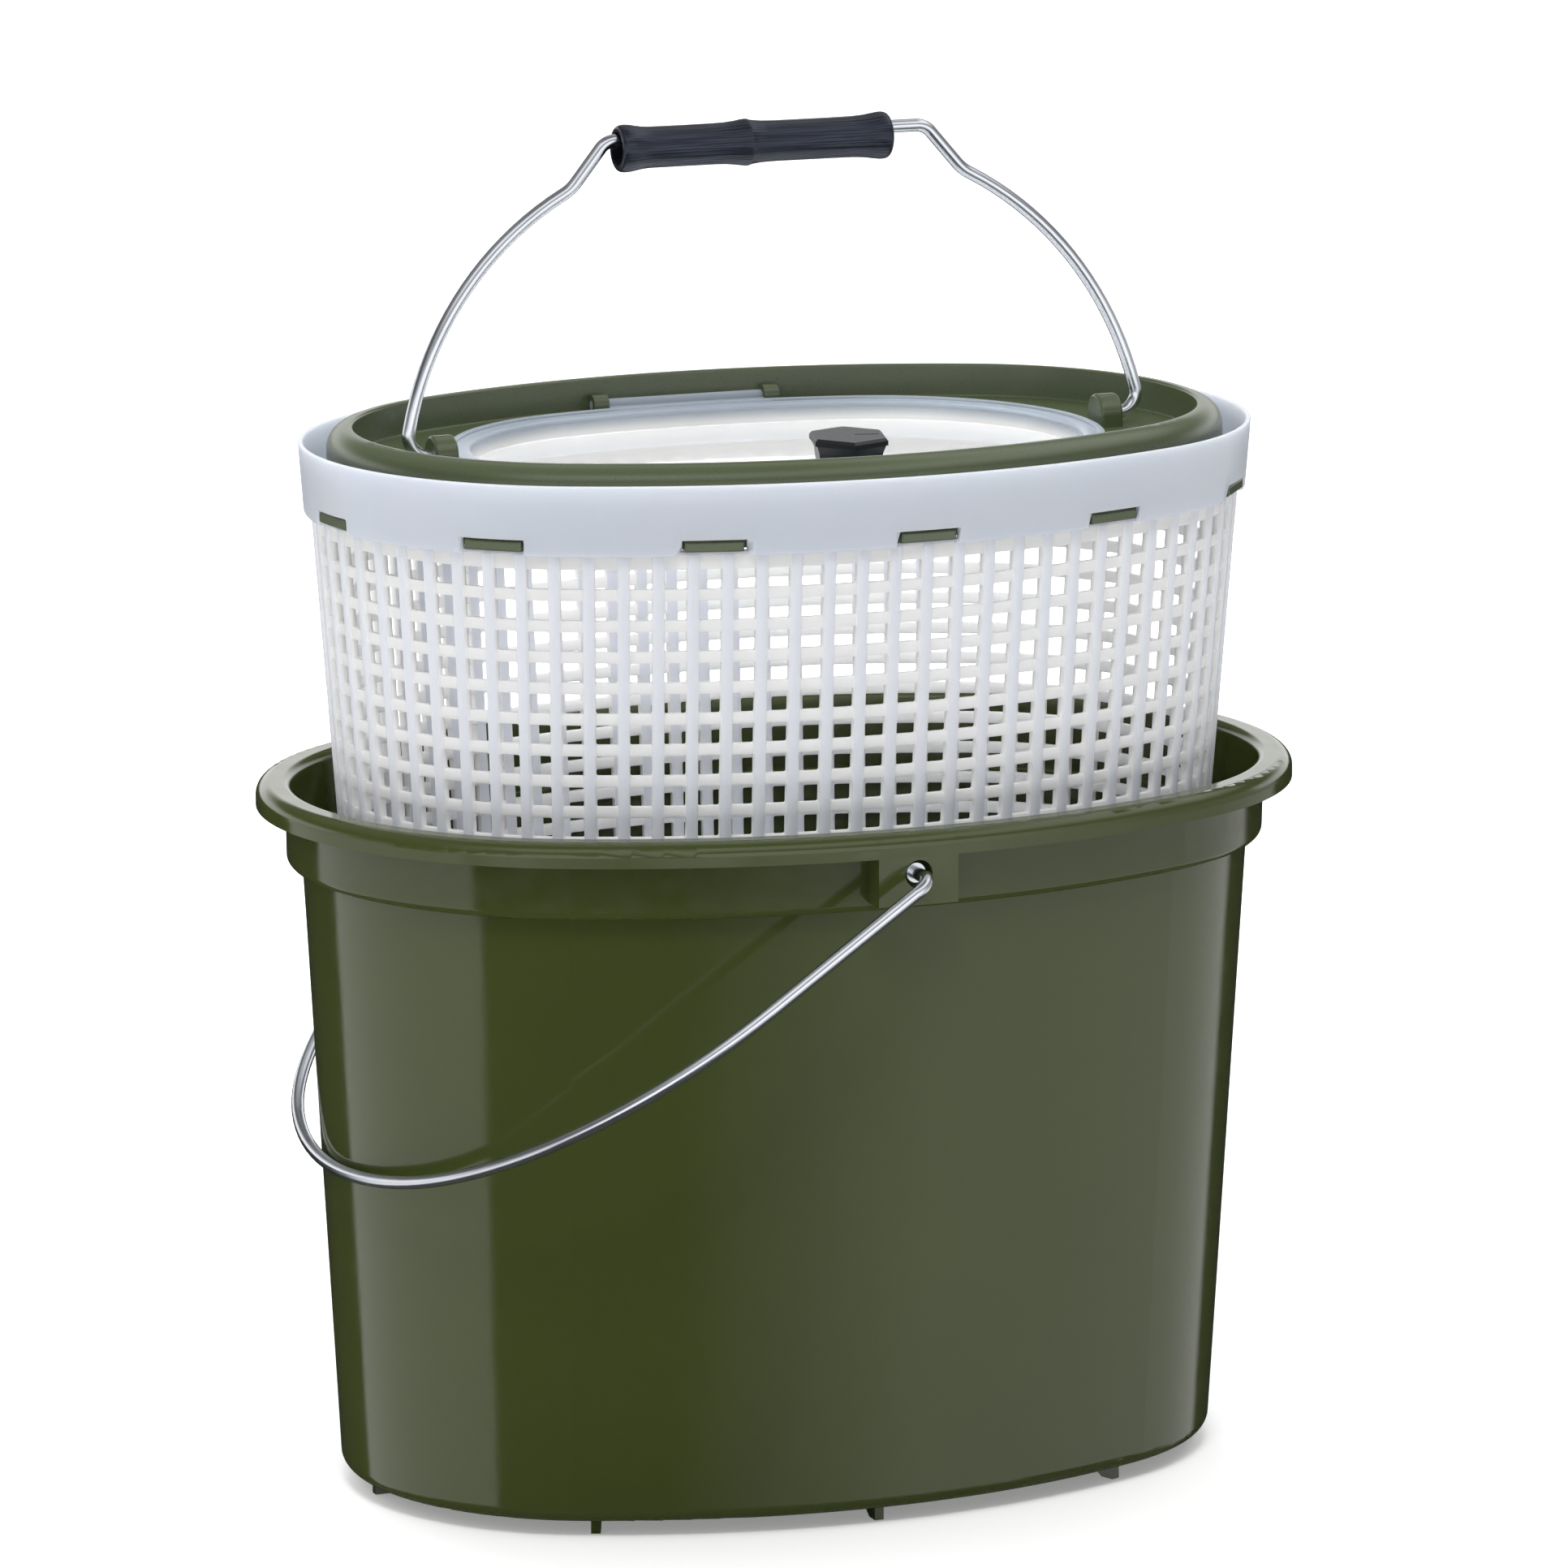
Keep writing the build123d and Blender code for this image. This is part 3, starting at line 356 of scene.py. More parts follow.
# %% Wire finish
wire_finish, tree, shader = material("zinc_plated_steel", Metallic=1.0)
place = node(tree, "ShaderNodeTexCoord").outputs["Object"]
patches = node(tree, "ShaderNodeTexNoise", sockets={"Vector": place, "Scale": 1 / (9 * MM), "Detail": 1.0})
tint = node(
    tree,
    "ShaderNodeMix",
    {"data_type": "RGBA"},
    {"Factor": patches.outputs["Fac"], "A": linear("C2C6CE"), "B": linear("D6D9DE")},
)
dull = node(
    tree,
    "ShaderNodeMapRange",
    sockets={"Value": patches.outputs["Fac"], "To Min": 0.19, "To Max": 0.25},
)
tree.links.new(tint.outputs["Result"], shader.inputs["Base Color"])
tree.links.new(dull.outputs["Result"], shader.inputs["Roughness"])
dress(solids["bucket_bail"], wire_finish)
dress(solids["basket_bail"], wire_finish)
print("finish", wire_finish.name)

# %% [markdown]
# ## The oval
# The rim is four tangent arcs. An inset shortens every radius by the same amount and keeps the
# centres, so a place on the oval is a distance along it plus an inset from its edge.

# %% The rim's oval
END_CENTRE, END_RADIUS = 68.0, 112.0
SIDE_CENTRE, SIDE_RADIUS = 152.198, 278.698
JOIN = math.radians(65.926)
BAND_INSET = 17.0

OVAL_ARCS = [
    ((END_CENTRE, 0), END_RADIUS, -JOIN, 2 * JOIN),
    ((0, -SIDE_CENTRE), SIDE_RADIUS, JOIN, math.pi - 2 * JOIN),
    ((-END_CENTRE, 0), END_RADIUS, math.pi - JOIN, 2 * JOIN),
    ((0, SIDE_CENTRE), SIDE_RADIUS, math.pi + JOIN, math.pi - 2 * JOIN),
]
ARC_LENGTHS = [(radius - BAND_INSET) * sweep for _, radius, _, sweep in OVAL_ARCS]
OUTLINE = sum(ARC_LENGTHS)


def oval_station(distance):
    """(centre x, centre y, rim radius, cosine, sine) at a distance along the band's edge."""
    distance = (distance + ARC_LENGTHS[0] / 2) % OUTLINE
    for ((x, y), radius, start, sweep), length in zip(OVAL_ARCS, ARC_LENGTHS):
        if distance <= length:
            angle = start + sweep * distance / length
            return x, y, radius, math.cos(angle), math.sin(angle)
        distance -= length
    raise ValueError("distance is past the outline")


print("outline at the band in mm:", round(OUTLINE, 1))

# %% [markdown]
# ## The lattice basket
# The real basket is one moulding: a plain band on top, upright bars standing 1 mm proud of the
# hoops behind them, and a floor with drain holes. A grid that follows the oval gives this: one
# set of lines goes round, the other up the section. Cells inside a window are left out, and
# short walls join the outer and the inner skin round every window.

# %% Lines round the basket, for the bars
# Each bar gets eight lines, four to each side of its middle: the edge of its flat front, the end
# of its rounding, its side where it meets the hoop, and a line on the hoop close beside it.
BAR_COUNT = 76
BAR_FLAT = 1.3
BAR_SHOULDER = 1.9
BAR_HALF = 2.1
BESIDE_BAR = 2.6

bar_pitch = OUTLINE / BAR_COUNT
around = []
for bar in range(BAR_COUNT):
    middle = bar * bar_pitch
    for reach in (BAR_FLAT, BAR_SHOULDER, BAR_HALF, BESIDE_BAR):
        around += [(middle - reach) % OUTLINE, (middle + reach) % OUTLINE]
print("lines for the bars:", len(around), "bar pitch in mm:", round(bar_pitch, 2))

# %% Lines round the basket, for the slots
# A slot's edge that falls on a bar's line takes its place, so that no sliver is left between.
TAB_COUNT = 12
TAB_START = 10.5
SLOT_HALF = 10.7
NOTCH_RAMP = 2.4
SLIVER = 0.08

slots = [TAB_START + OUTLINE * tab / TAB_COUNT for tab in range(TAB_COUNT)]
for slot in slots:
    for side in (-1, 1):
        for reach in (SLOT_HALF, SLOT_HALF + NOTCH_RAMP):
            edge = (slot + side * reach) % OUTLINE
            nearest = min(range(len(around)), key=lambda n: abs(around[n] - edge))
            if abs(around[nearest] - edge) > SLIVER:
                around.append(edge)
            else:
                around[nearest] = edge
around = np.array(sorted(around))
print("lines round the basket:", len(around))


# %% How far a line is from its bar and from its slot
def past_bar(places):
    """Signed distance from the middle of the nearest bar."""
    return (places + bar_pitch / 2) % bar_pitch - bar_pitch / 2


def from_slot(places):
    """Distance from the middle of the nearest slot."""
    gaps = np.abs(places[:, None] - np.array(slots)[None, :])
    return np.minimum(gaps, OUTLINE - gaps).min(axis=1)


SLOT_MARGIN = 0.05
from_bar = np.abs(past_bar(around))
in_slot = from_slot(around) < SLOT_HALF + SLOT_MARGIN
print("lines in slots:", int(in_slot.sum()))

# %% Rows of windows, from the band down
BAND_FOOT = 332.6
ROW_COUNT = 16
ROW_PITCH = 10.45
WINDOW_HEIGHT = 6.65
TOP_MARGIN = 4.7
CORNER = 0.55
BESIDE_WINDOW = 0.35

window_rows = []
rise_lines = []
for row in range(ROW_COUNT):
    top = BAND_FOOT - TOP_MARGIN - row * ROW_PITCH
    foot = top - WINDOW_HEIGHT
    window_rows.append((foot, top))
    rise_lines += [foot - BESIDE_WINDOW, foot, foot + CORNER, top - CORNER, top, top + BESIDE_WINDOW]
rise_lines = sorted(rise_lines)
print("windows:", BAR_COUNT * ROW_COUNT, "lowest at", round(window_rows[-1][0], 1), "mm")

# %% Insets of the lattice and the band
# Both walls have draft, so that the mould lets go of them.
LATTICE_INSET = 19.4
DRAFT = math.tan(math.radians(4.4))


def lattice_inset(height):
    """Inset of the lattice's outside from the rim's oval."""
    return LATTICE_INSET + (BAND_FOOT - height) * DRAFT


def band_inset(height):
    """Inset of the band's outside from the rim's oval."""
    return BAND_INSET - (height - BAND_FOOT) * DRAFT


print("lattice inset 100 mm down:", round(lattice_inset(BAND_FOOT - 100), 1))

# %% Section up the outside, from under the floor to the ledge under the band
# Every point of the section is a tag, an inset and a height. Rounded edges are short lists of
# points, each an inset and a height from the corner that they round.
BASKET_FLOOR = 154.6
FLOOR_EDGE = 6.0
FOOT_ROUND = [(FLOOR_EDGE, 0.0), (2.8, 0.0), (1.2, 0.4), (0.2, 1.4)]
FOOT_HEIGHT = 3.0
LOWEST_HOOP = 4.0
LEDGE_ROUND = [(1.0, 0.0), (0.3, 0.2), (0.02, 0.7)]

foot_inset = lattice_inset(BASKET_FLOOR)
section = [("floor", foot_inset + inward, BASKET_FLOOR + up) for inward, up in FOOT_ROUND]
for height in (BASKET_FLOOR + FOOT_HEIGHT, rise_lines[0] - LOWEST_HOOP):
    section.append(("floor", lattice_inset(height), height))
outer_first = len(section)
section += [("outer", lattice_inset(z), z) for z in rise_lines]
outer_last = len(section)
section.append(("neck", LATTICE_INSET, BAND_FOOT))
section += [("ledge", BAND_INSET + inward, BAND_FOOT + up) for inward, up in LEDGE_ROUND]
print("points up the outside:", len(section))

# %% Section of the band, up its outside, over its lip and down its inside
BAND_TOP = 356.2
BAND_WALL = 1.8
LEDGE = 1.4
SLOT_TOP = 338.1
LIP_ROUND = 0.5
LIP_BEVEL = 0.3

band_lines = [343.0, 349.0, BAND_TOP - LIP_ROUND]
slot_outer = len(section)
section += [("band", band_inset(z), z) for z in (BAND_FOOT + LEDGE, SLOT_TOP, *band_lines)]
for inward in (LIP_BEVEL, BAND_WALL - LIP_BEVEL):
    section.append(("band", band_inset(BAND_TOP) + inward, BAND_TOP))
section += [("band", band_inset(z) + BAND_WALL, z) for z in reversed(band_lines)]
slot_inner = len(section)
section.append(("band", band_inset(SLOT_TOP) + BAND_WALL, SLOT_TOP))
section.append(("band", BAND_INSET + BAND_WALL, BAND_FOOT + LEDGE))
print("points to the band's inner foot:", len(section))

# %% Section down the inside, from the shelf to the floor
LATTICE_WALL = 3.0
SHELF_BEVEL = 0.1
SHELF_DROP = 0.4
FLOOR_THICKNESS = 2.4
INNER_ROUND = [(LATTICE_WALL, 4.0), (LATTICE_WALL + 1.0, 2.6), (FLOOR_EDGE, FLOOR_THICKNESS)]

shelf_inset = LATTICE_INSET + LATTICE_WALL
section.append(("shelf", shelf_inset - SHELF_BEVEL, BAND_FOOT + LEDGE))
section.append(("inner", shelf_inset, BAND_FOOT + LEDGE - SHELF_DROP))
inner_first = len(section)
section += [("inner", lattice_inset(z) + LATTICE_WALL, z) for z in reversed(rise_lines)]
inner_last = len(section)
section += [("inner", foot_inset + inward, BASKET_FLOOR + up) for inward, up in INNER_ROUND]
print("points in the section:", len(section))

# %% Grids of insets and heights, one row for each point of the section
count_around = len(around)
count_section = len(section)
stations = np.array([oval_station(d) for d in around])
tags = [tag for tag, _, _ in section]
insets = np.array([inset for _, inset, _ in section])
heights = np.array([height for _, _, height in section])
inset_grid = np.repeat(insets[:, None], count_around, axis=1)
height_grid = np.repeat(heights[:, None], count_around, axis=1)
print("grid of the basket:", inset_grid.shape)

# %% Bars proud of the hoops, and slots through the ledge
# A bar's rounded edges fall back from its flat front to the hoops. Under a slot the ledge is
# drawn back to the lattice, and its points climb by quarters to the slot's lower edge.
BAR_PROUD = 1.0
SHOULDER_DROP = 0.3
OFF_LATTICE = 0.05

set_back = np.interp(
    from_bar, [BAR_FLAT, BAR_SHOULDER, BAR_HALF], [0.0, SHOULDER_DROP, BAR_PROUD]
)
for line, tag in enumerate(tags):
    if tag in ("outer", "neck"):
        inset_grid[line] += set_back
    if tag == "ledge":
        quarters = 1 + line - tags.index("ledge")
        inset_grid[line, in_slot] = LATTICE_INSET - OFF_LATTICE
        height_grid[line, in_slot] = BAND_FOOT + LEDGE * quarters / 4
inset_grid[slot_outer, in_slot] = LATTICE_INSET - 2 * OFF_LATTICE
print("set back between bars in mm:", round(float(set_back.max()), 2))

# %% Rounded corners of the windows
# A corner is rounded by drawing its corner point into the opening.
CORNER_DRAW = 0.17
ON_EDGE = 0.03

station_grid = np.repeat(around[None, :], count_section, axis=0)
edge_lines = np.flatnonzero(np.abs(from_bar - BAR_HALF) < ON_EDGE)
outward = np.sign(past_bar(around))[edge_lines]
window_edges = {low: 1 for low, _ in window_rows} | {high: -1 for _, high in window_rows}
for line in (*range(outer_first, outer_last), *range(inner_first, inner_last)):
    if heights[line] in window_edges:
        station_grid[line, edge_lines] += CORNER_DRAW * outward
        height_grid[line, edge_lines] += CORNER_DRAW * window_edges[heights[line]]
print("window edges drawn in:", len(window_edges), "heights at", len(edge_lines), "lines")

# %% Points of the skin
centres = stations[:, :2]
turn = (station_grid - around[None, :]) / (stations[:, 2] - BAND_INSET)
cos_grid = stations[:, 3] * np.cos(turn) - stations[:, 4] * np.sin(turn)
sin_grid = stations[:, 4] * np.cos(turn) + stations[:, 3] * np.sin(turn)
reach = stations[:, 2] - inset_grid
points = np.stack(
    [centres[:, 0] + reach * cos_grid, centres[:, 1] + reach * sin_grid, height_grid], axis=2
)
points = points.reshape(-1, 3) * MM
print("points of the skin:", len(points))

# %% Which cells are open
next_around = np.append(around[1:], around[0] + OUTLINE)
middles = ((around + next_around) / 2) % OUTLINE
between_bars = np.abs(past_bar(middles)) > BAR_HALF
over_slot = from_slot(middles) < SLOT_HALF


def is_open(line, column):
    """True if the cell above this section line belongs to a window or a slot."""
    column %= count_around
    if line in (slot_outer, slot_inner):
        return bool(over_slot[column])
    if outer_first <= line < outer_last - 1 or inner_first <= line < inner_last - 1:
        middle = (heights[line] + heights[line + 1]) / 2
        return bool(between_bars[column]) and any(low < middle < high for low, high in window_rows)
    return False


print("columns between bars:", int(between_bars.sum()), "over slots:", int(over_slot.sum()))


# %% Faces of the skin, and walls round every opening
def skin_index(line, column):
    """Number of the point on this line of the section, in this column round the basket."""
    return line * count_around + column % count_around


def across(line):
    """The inner section line that faces an outer one through the wall."""
    if line in (slot_outer, slot_outer + 1):
        return slot_inner + 1 - (line - slot_outer)
    return inner_last - 1 - (line - outer_first)


faces = []
for line in range(count_section - 1):
    for column in range(count_around):
        if not is_open(line, column):
            faces.append((
                skin_index(line, column),
                skin_index(line, column + 1),
                skin_index(line + 1, column + 1),
                skin_index(line + 1, column),
            ))
            continue
        if line >= slot_inner:
            continue
        facing = across(line)
        above = across(line + 1)
        near = [skin_index(line, column), skin_index(line, column + 1)]
        near += [skin_index(line + 1, column + 1), skin_index(line + 1, column)]
        far = [skin_index(facing, column), skin_index(facing, column + 1)]
        far += [skin_index(above, column + 1), skin_index(above, column)]
        neighbours = [(line - 1, column), (line, column + 1), (line + 1, column), (line, column - 1)]
        for side, (other_line, other_column) in enumerate(neighbours):
            if not is_open(other_line, other_column):
                after = (side + 1) % 4
                faces.append((near[side], near[after], far[after], far[side]))
print("basket skin:", len(points), "points", len(faces), "faces")

# %% Mesh of the skin, with a mark for the painted shade on the band and the painted glow on the hoops
BAR_EDGE_MARGIN = 0.02

mesh = bpy.data.meshes.new("lattice_basket")
mesh.from_pydata(points.tolist(), [], faces)
# The mark places painted light and shade: 0 gives the band its painted shade, 1 gives the hoops their
# painted glow, and 0.5 is on the bars.
painted_glow_and_shade_mark = np.full((count_section, count_around), 0.5)
for line, tag in enumerate(tags):
    if tag in ("outer", "neck", "inner"):
        painted_glow_and_shade_mark[line, from_bar > BAR_HALF - BAR_EDGE_MARGIN] = 1.0
    if tag in ("ledge", "band", "shelf"):
        painted_glow_and_shade_mark[line] = 0.0
mesh.attributes.new("thin", "FLOAT", "POINT").data.foreach_set("value", painted_glow_and_shade_mark.ravel())
print("points marked as thin hoops:", int((painted_glow_and_shade_mark == 1.0).sum()))

# %% Floor with drain holes
HOLE_LENGTH = 20.0
HOLE_WIDTH = 12.0
HOLE_PITCH = 30.0
CORNER_SIGNS = ((-1, -1), (1, -1), (1, 1), (-1, 1))

floor_inset = foot_inset + FLOOR_EDGE
floor_edge = [
    (x + (radius - floor_inset) * c, y + (radius - floor_inset) * s)
    for x, y, radius, c, s in stations
]
drain_holes = []
for i in range(-3, 4):
    for j in (-1, 0, 1):
        x = HOLE_PITCH * i
        y = HOLE_PITCH * j
        drain_holes.append([(x + sx * HOLE_LENGTH / 2, y + sy * HOLE_WIDTH / 2) for sx, sy in CORNER_SIGNS])
print("drain holes:", len(drain_holes))


def floor_plate(bm, height):
    """One face of the floor, its oval filled with triangles round the holes."""
    edges = []
    for loop in [floor_edge, *drain_holes]:
        corners = [bm.verts.new((x * MM, y * MM, height * MM)) for x, y in loop]
        edges += [bm.edges.new((corners[n - 1], corners[n])) for n in range(len(corners))]
    bmesh.ops.triangle_fill(bm, use_beauty=True, use_dissolve=False, edges=edges)


# %% The basket in one mesh, on its body
WELD = 0.002
CREASE_ANGLE = math.radians(35)

floor_top = BASKET_FLOOR + FLOOR_THICKNESS
bm = bmesh.new()
bm.from_mesh(mesh)
floor_plate(bm, BASKET_FLOOR)
floor_plate(bm, floor_top)
for hole in drain_holes:
    low = [bm.verts.new((x * MM, y * MM, BASKET_FLOOR * MM)) for x, y in hole]
    high = [bm.verts.new((x * MM, y * MM, floor_top * MM)) for x, y in hole]
    for n in range(4):
        bm.faces.new((low[n - 1], low[n], high[n], high[n - 1]))
bmesh.ops.remove_doubles(bm, verts=bm.verts, dist=WELD * MM)
bmesh.ops.recalc_face_normals(bm, faces=bm.faces)
bm.to_mesh(mesh)
bm.free()
mesh.shade_smooth()
mesh.set_sharp_from_angle(angle=CREASE_ANGLE)
basket = bpy.data.objects.new("lattice_basket", mesh)
bpy.context.scene.collection.objects.link(basket)
dress(basket, basket_finish)
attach(basket, "basket_body")
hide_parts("basket")
print("lattice_basket faces:", len(mesh.polygons))

# %% [markdown]
# ## The grip
# The grip is blown or moulded round a core, with flared ends, a ridge in the middle and a
# grain that copies wood. It is a lathe shape, so its section is turned about the bail's axis,
# and the furrows are pressed into the points themselves.

# %% Grip finish
grip_finish, tree, shader = material(
    "black_polyethylene_grain",
    IOR=1.51,
    Specular_IOR_Level=0.7,
    Specular_Tint=linear("C6D0EC"),
)
place = node(tree, "ShaderNodeTexCoord").outputs["Object"]
along = node(tree, "ShaderNodeMapping", sockets={"Vector": place, "Scale": (0.06, 1.0, 1.0)})
fibre = node(
    tree,
    "ShaderNodeTexNoise",
    sockets={
        "Vector": along.outputs["Vector"],
        "Scale": 1 / (0.7 * MM),
        "Detail": 3.0,
        "Roughness": 0.65,
    },
)
ridges = node(tree, "ShaderNodeAttribute", {"attribute_name": "ridge"})
both = node(
    tree,
    "ShaderNodeMath",
    {"operation": "MULTIPLY"},
    {0: fibre.outputs["Fac"], 1: ridges.outputs["Fac"]},
)
# Painted shade: the bottoms of the furrows are painted darker than the ridges, and the grain's noise varies
# the tone at random.
grain_tone_and_furrow_shade = node(
    tree,
    "ShaderNodeMapRange",
    sockets={"Value": both.outputs["Value"], "From Min": 0.12, "From Max": 0.42},
)
tint = node(
    tree,
    "ShaderNodeMix",
    {"data_type": "RGBA"},
    {"Factor": grain_tone_and_furrow_shade.outputs["Result"], "A": linear("06070A"), "B": linear("22242D")},
)
satin = node(
    tree,
    "ShaderNodeMapRange",
    sockets={"Value": fibre.outputs["Fac"], "To Min": 0.36, "To Max": 0.24},
)
furrows = node(
    tree,
    "ShaderNodeBump",
    sockets={"Height": fibre.outputs["Fac"], "Strength": 0.5, "Distance": 0.1 * MM},
)
tree.links.new(tint.outputs["Result"], shader.inputs["Base Color"])
tree.links.new(satin.outputs["Result"], shader.inputs["Roughness"])
tree.links.new(furrows.outputs["Normal"], shader.inputs["Normal"])
print("finish", grip_finish.name)

# %% Lathe section of the grip
# Pairs of a place along the grip and its radius, from one mouth of the bore to the other. They
# are spread evenly and smoothed twice, which rounds the edges between them.
GRIP_HALF = 48.5
GRIP_STEPS = 240

grip_outline = [
    (-GRIP_HALF, 6.1), (-48.45, 6.9), (-48.1, 7.5), (-47.3, 7.9), (-46.0, 8.0), (-44.0, 7.85),
    (-42.0, 7.45), (-40.0, 7.1), (-37.5, 6.9), (-25.0, 6.85), (-14.0, 6.88), (-10.0, 7.0),
    (-6.5, 7.35), (-4.0, 7.75), (-2.6, 7.9), (-1.9, 7.85), (-1.4, 7.5), (0.6, 7.25),
    (3.0, 7.0), (8.0, 6.85), (25.0, 6.85), (36.0, 6.9), (40.0, 7.15), (43.0, 7.6),
    (45.5, 7.95), (47.0, 7.95), (48.0, 7.6), (48.4, 7.0), (GRIP_HALF, 6.1),
]
outline_x, outline_r = np.array(grip_outline).T
travel = np.concatenate([[0], np.cumsum(np.hypot(np.diff(outline_x), np.diff(outline_r)))])
even = np.linspace(0, travel[-1], GRIP_STEPS)
lathe_x = np.interp(even, travel, outline_x)
lathe_r = np.interp(even, travel, outline_r)
smooth = np.array([0.25, 0.5, 0.25])
for _ in range(2):
    lathe_r[1:-1] = np.convolve(lathe_r, smooth, "valid")
print("widest radius of the grip in mm:", round(float(lathe_r.max()), 2))

# %% Wood-like furrows, as waves that run mostly along the grip
# Each wave has its number of furrows round the grip and their depth. Chance bends it, and fades
# it along the grip, so that the furrows split and join as grain does.
GRIP_TURNS = 240
FURROW_WAVES = [(11, 0.02), (23, 0.02), (37, 0.03), (47, 0.035), (53, 0.035), (61, 0.03)]
PLAIN_END = 2.0
ANY_START = 6.3

random.seed(7)
angles = np.linspace(0, 2 * math.pi, GRIP_TURNS, endpoint=False)
x_grid, angle_grid = np.meshgrid(lathe_x, angles, indexing="ij")
furrow = np.zeros_like(x_grid)
for count, depth in FURROW_WAVES:
    drift = random.uniform(0.004, 0.02)
    beat = random.uniform(8.0, 22.0)
    wander = 0.5 * np.sin(x_grid / beat + random.uniform(0, ANY_START)) + drift * x_grid
    fade_length = random.uniform(4.0, 12.0)
    fade = 0.6 + 0.4 * np.sin(x_grid / fade_length + angle_grid * random.choice((1, 2, 3)))
    bend = random.uniform(0.6, 2.4)
    start = random.uniform(0, ANY_START)
    furrow += depth * fade * np.sin(count * angle_grid + wander * bend + start)
furrow *= np.clip((GRIP_HALF - np.abs(x_grid)) / PLAIN_END, 0, 1)
print("furrow depth in mm:", round(float(furrow.min()), 2), "to", round(float(furrow.max()), 2))

# %% Rings of the grip: the furrowed outside, then back through the bore
BORE_RADIUS = 5.3
BORE_MOUTH = 5.6

bore_x = np.array([GRIP_HALF, 46.0, 30.0, 10.0, -10.0, -30.0, -46.0, -GRIP_HALF])
bore_r = np.full(len(bore_x), BORE_RADIUS)
bore_r[[0, -1]] = BORE_MOUTH
outside_r = lathe_r[:, None] + furrow
ring_x = np.concatenate([x_grid, np.repeat(bore_x[:, None], GRIP_TURNS, axis=1)])
ring_r = np.concatenate([outside_r, np.repeat(bore_r[:, None], GRIP_TURNS, axis=1)])
ring_a = np.concatenate([angle_grid, np.repeat(angles[None, :], len(bore_x), axis=0)])
print("rings of the grip:", len(ring_x), "points in each:", GRIP_TURNS)

# %% Points and faces of the grip, leaning with the bail
GRIP_MIDDLE = Vector((-5.0, 10.265, 451.462))
BAIL_LEAN = math.radians(6.0)

out = ring_r * np.cos(ring_a)
up = ring_r * np.sin(ring_a)
lean_y = out * math.cos(BAIL_LEAN) + up * math.sin(BAIL_LEAN)
lean_z = up * math.cos(BAIL_LEAN) - out * math.sin(BAIL_LEAN)
grip_points = np.stack(
    [ring_x + GRIP_MIDDLE.x, lean_y + GRIP_MIDDLE.y, lean_z + GRIP_MIDDLE.z], axis=2
)
rings_along = len(ring_x)
grip_faces = []
for ring in range(rings_along):
    following = (ring + 1) % rings_along
    for turn_step in range(GRIP_TURNS):
        beside = (turn_step + 1) % GRIP_TURNS
        grip_faces.append((
            ring * GRIP_TURNS + turn_step,
            following * GRIP_TURNS + turn_step,
            following * GRIP_TURNS + beside,
            ring * GRIP_TURNS + beside,
        ))
print("faces of the grip:", len(grip_faces))

# %% The grip's mesh, with a mark for the painted shade in its furrows
# The mark is 0 at the bottom of a furrow and 1 on a ridge, and the bore lies between. It paints the bottoms
# of the furrows darker, as painted shade.
MARK_DEPTH = 0.08
GRIP_CREASE = math.radians(60)

grip_mesh = bpy.data.meshes.new("grained_grip")
grip_mesh.from_pydata((grip_points.reshape(-1, 3) * MM).tolist(), [], grip_faces)
furrow_shade_mark = np.full(ring_r.shape, 0.5)
furrow_shade_mark[:GRIP_STEPS] = np.interp(furrow, [-MARK_DEPTH, MARK_DEPTH], [0.0, 1.0])
grip_mesh.attributes.new("ridge", "FLOAT", "POINT").data.foreach_set("value", furrow_shade_mark.ravel())
bm = bmesh.new()
bm.from_mesh(grip_mesh)
bmesh.ops.recalc_face_normals(bm, faces=bm.faces)
bm.to_mesh(grip_mesh)
bm.free()
grip_mesh.shade_smooth()
grip_mesh.set_sharp_from_angle(angle=GRIP_CREASE)
grained_grip = bpy.data.objects.new("grained_grip", grip_mesh)
bpy.context.scene.collection.objects.link(grained_grip)
dress(grained_grip, grip_finish)
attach(grained_grip, "grip_body")
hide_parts("bail_grip")
print("grained_grip faces:", len(grip_mesh.polygons))

# %% [markdown]
# ## Studio floor
# A pale matt floor catches the shadow. To keep it white round the object, the camera sees it
# glow, little close to the feet, where the shadow lies, and more further out. The glow shows to
# the camera alone, so it lights nothing.

# %% Floor
FLOOR_HALF = 12.0
FLOOR_GAP = 0.2 * MM

floor_mesh = bpy.data.meshes.new("studio_floor")
corners = [(x * FLOOR_HALF, y * FLOOR_HALF, 0) for x, y in CORNER_SIGNS]
floor_mesh.from_pydata(corners, [], [(0, 1, 2, 3)])
studio_floor = bpy.data.objects.new("studio_floor", floor_mesh)
studio_floor.location.z = cad_low.z - FLOOR_GAP
bpy.context.scene.collection.objects.link(studio_floor)
print("floor at", round(studio_floor.location.z / MM, 2), "mm")

# %% Floor finish
floor_finish, tree, shader = material(
    "white_studio_floor",
    Base_Color=linear("F6F6F6"),
    Roughness=0.9,
    Specular_IOR_Level=0.0,
    Emission_Color=(1, 1, 1, 1),
)
seen = node(tree, "ShaderNodeLightPath").outputs["Is Camera Ray"]
place = node(tree, "ShaderNodeTexCoord").outputs["Object"]
away = node(tree, "ShaderNodeVectorMath", {"operation": "LENGTH"}, {0: place}).outputs["Value"]
fade = node(
    tree,
    "ShaderNodeMapRange",
    sockets={"Value": away, "From Min": 0.25, "From Max": 1.2, "To Min": 0.25, "To Max": 0.8},
)
lift = node(tree, "ShaderNodeMath", {"operation": "MULTIPLY"}, {0: seen, 1: fade.outputs["Result"]})
tree.links.new(lift.outputs["Value"], shader.inputs["Emission Strength"])
dress(studio_floor, floor_finish)
studio_floor.visible_glossy = False
studio_floor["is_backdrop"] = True
print("finish", floor_finish.name)

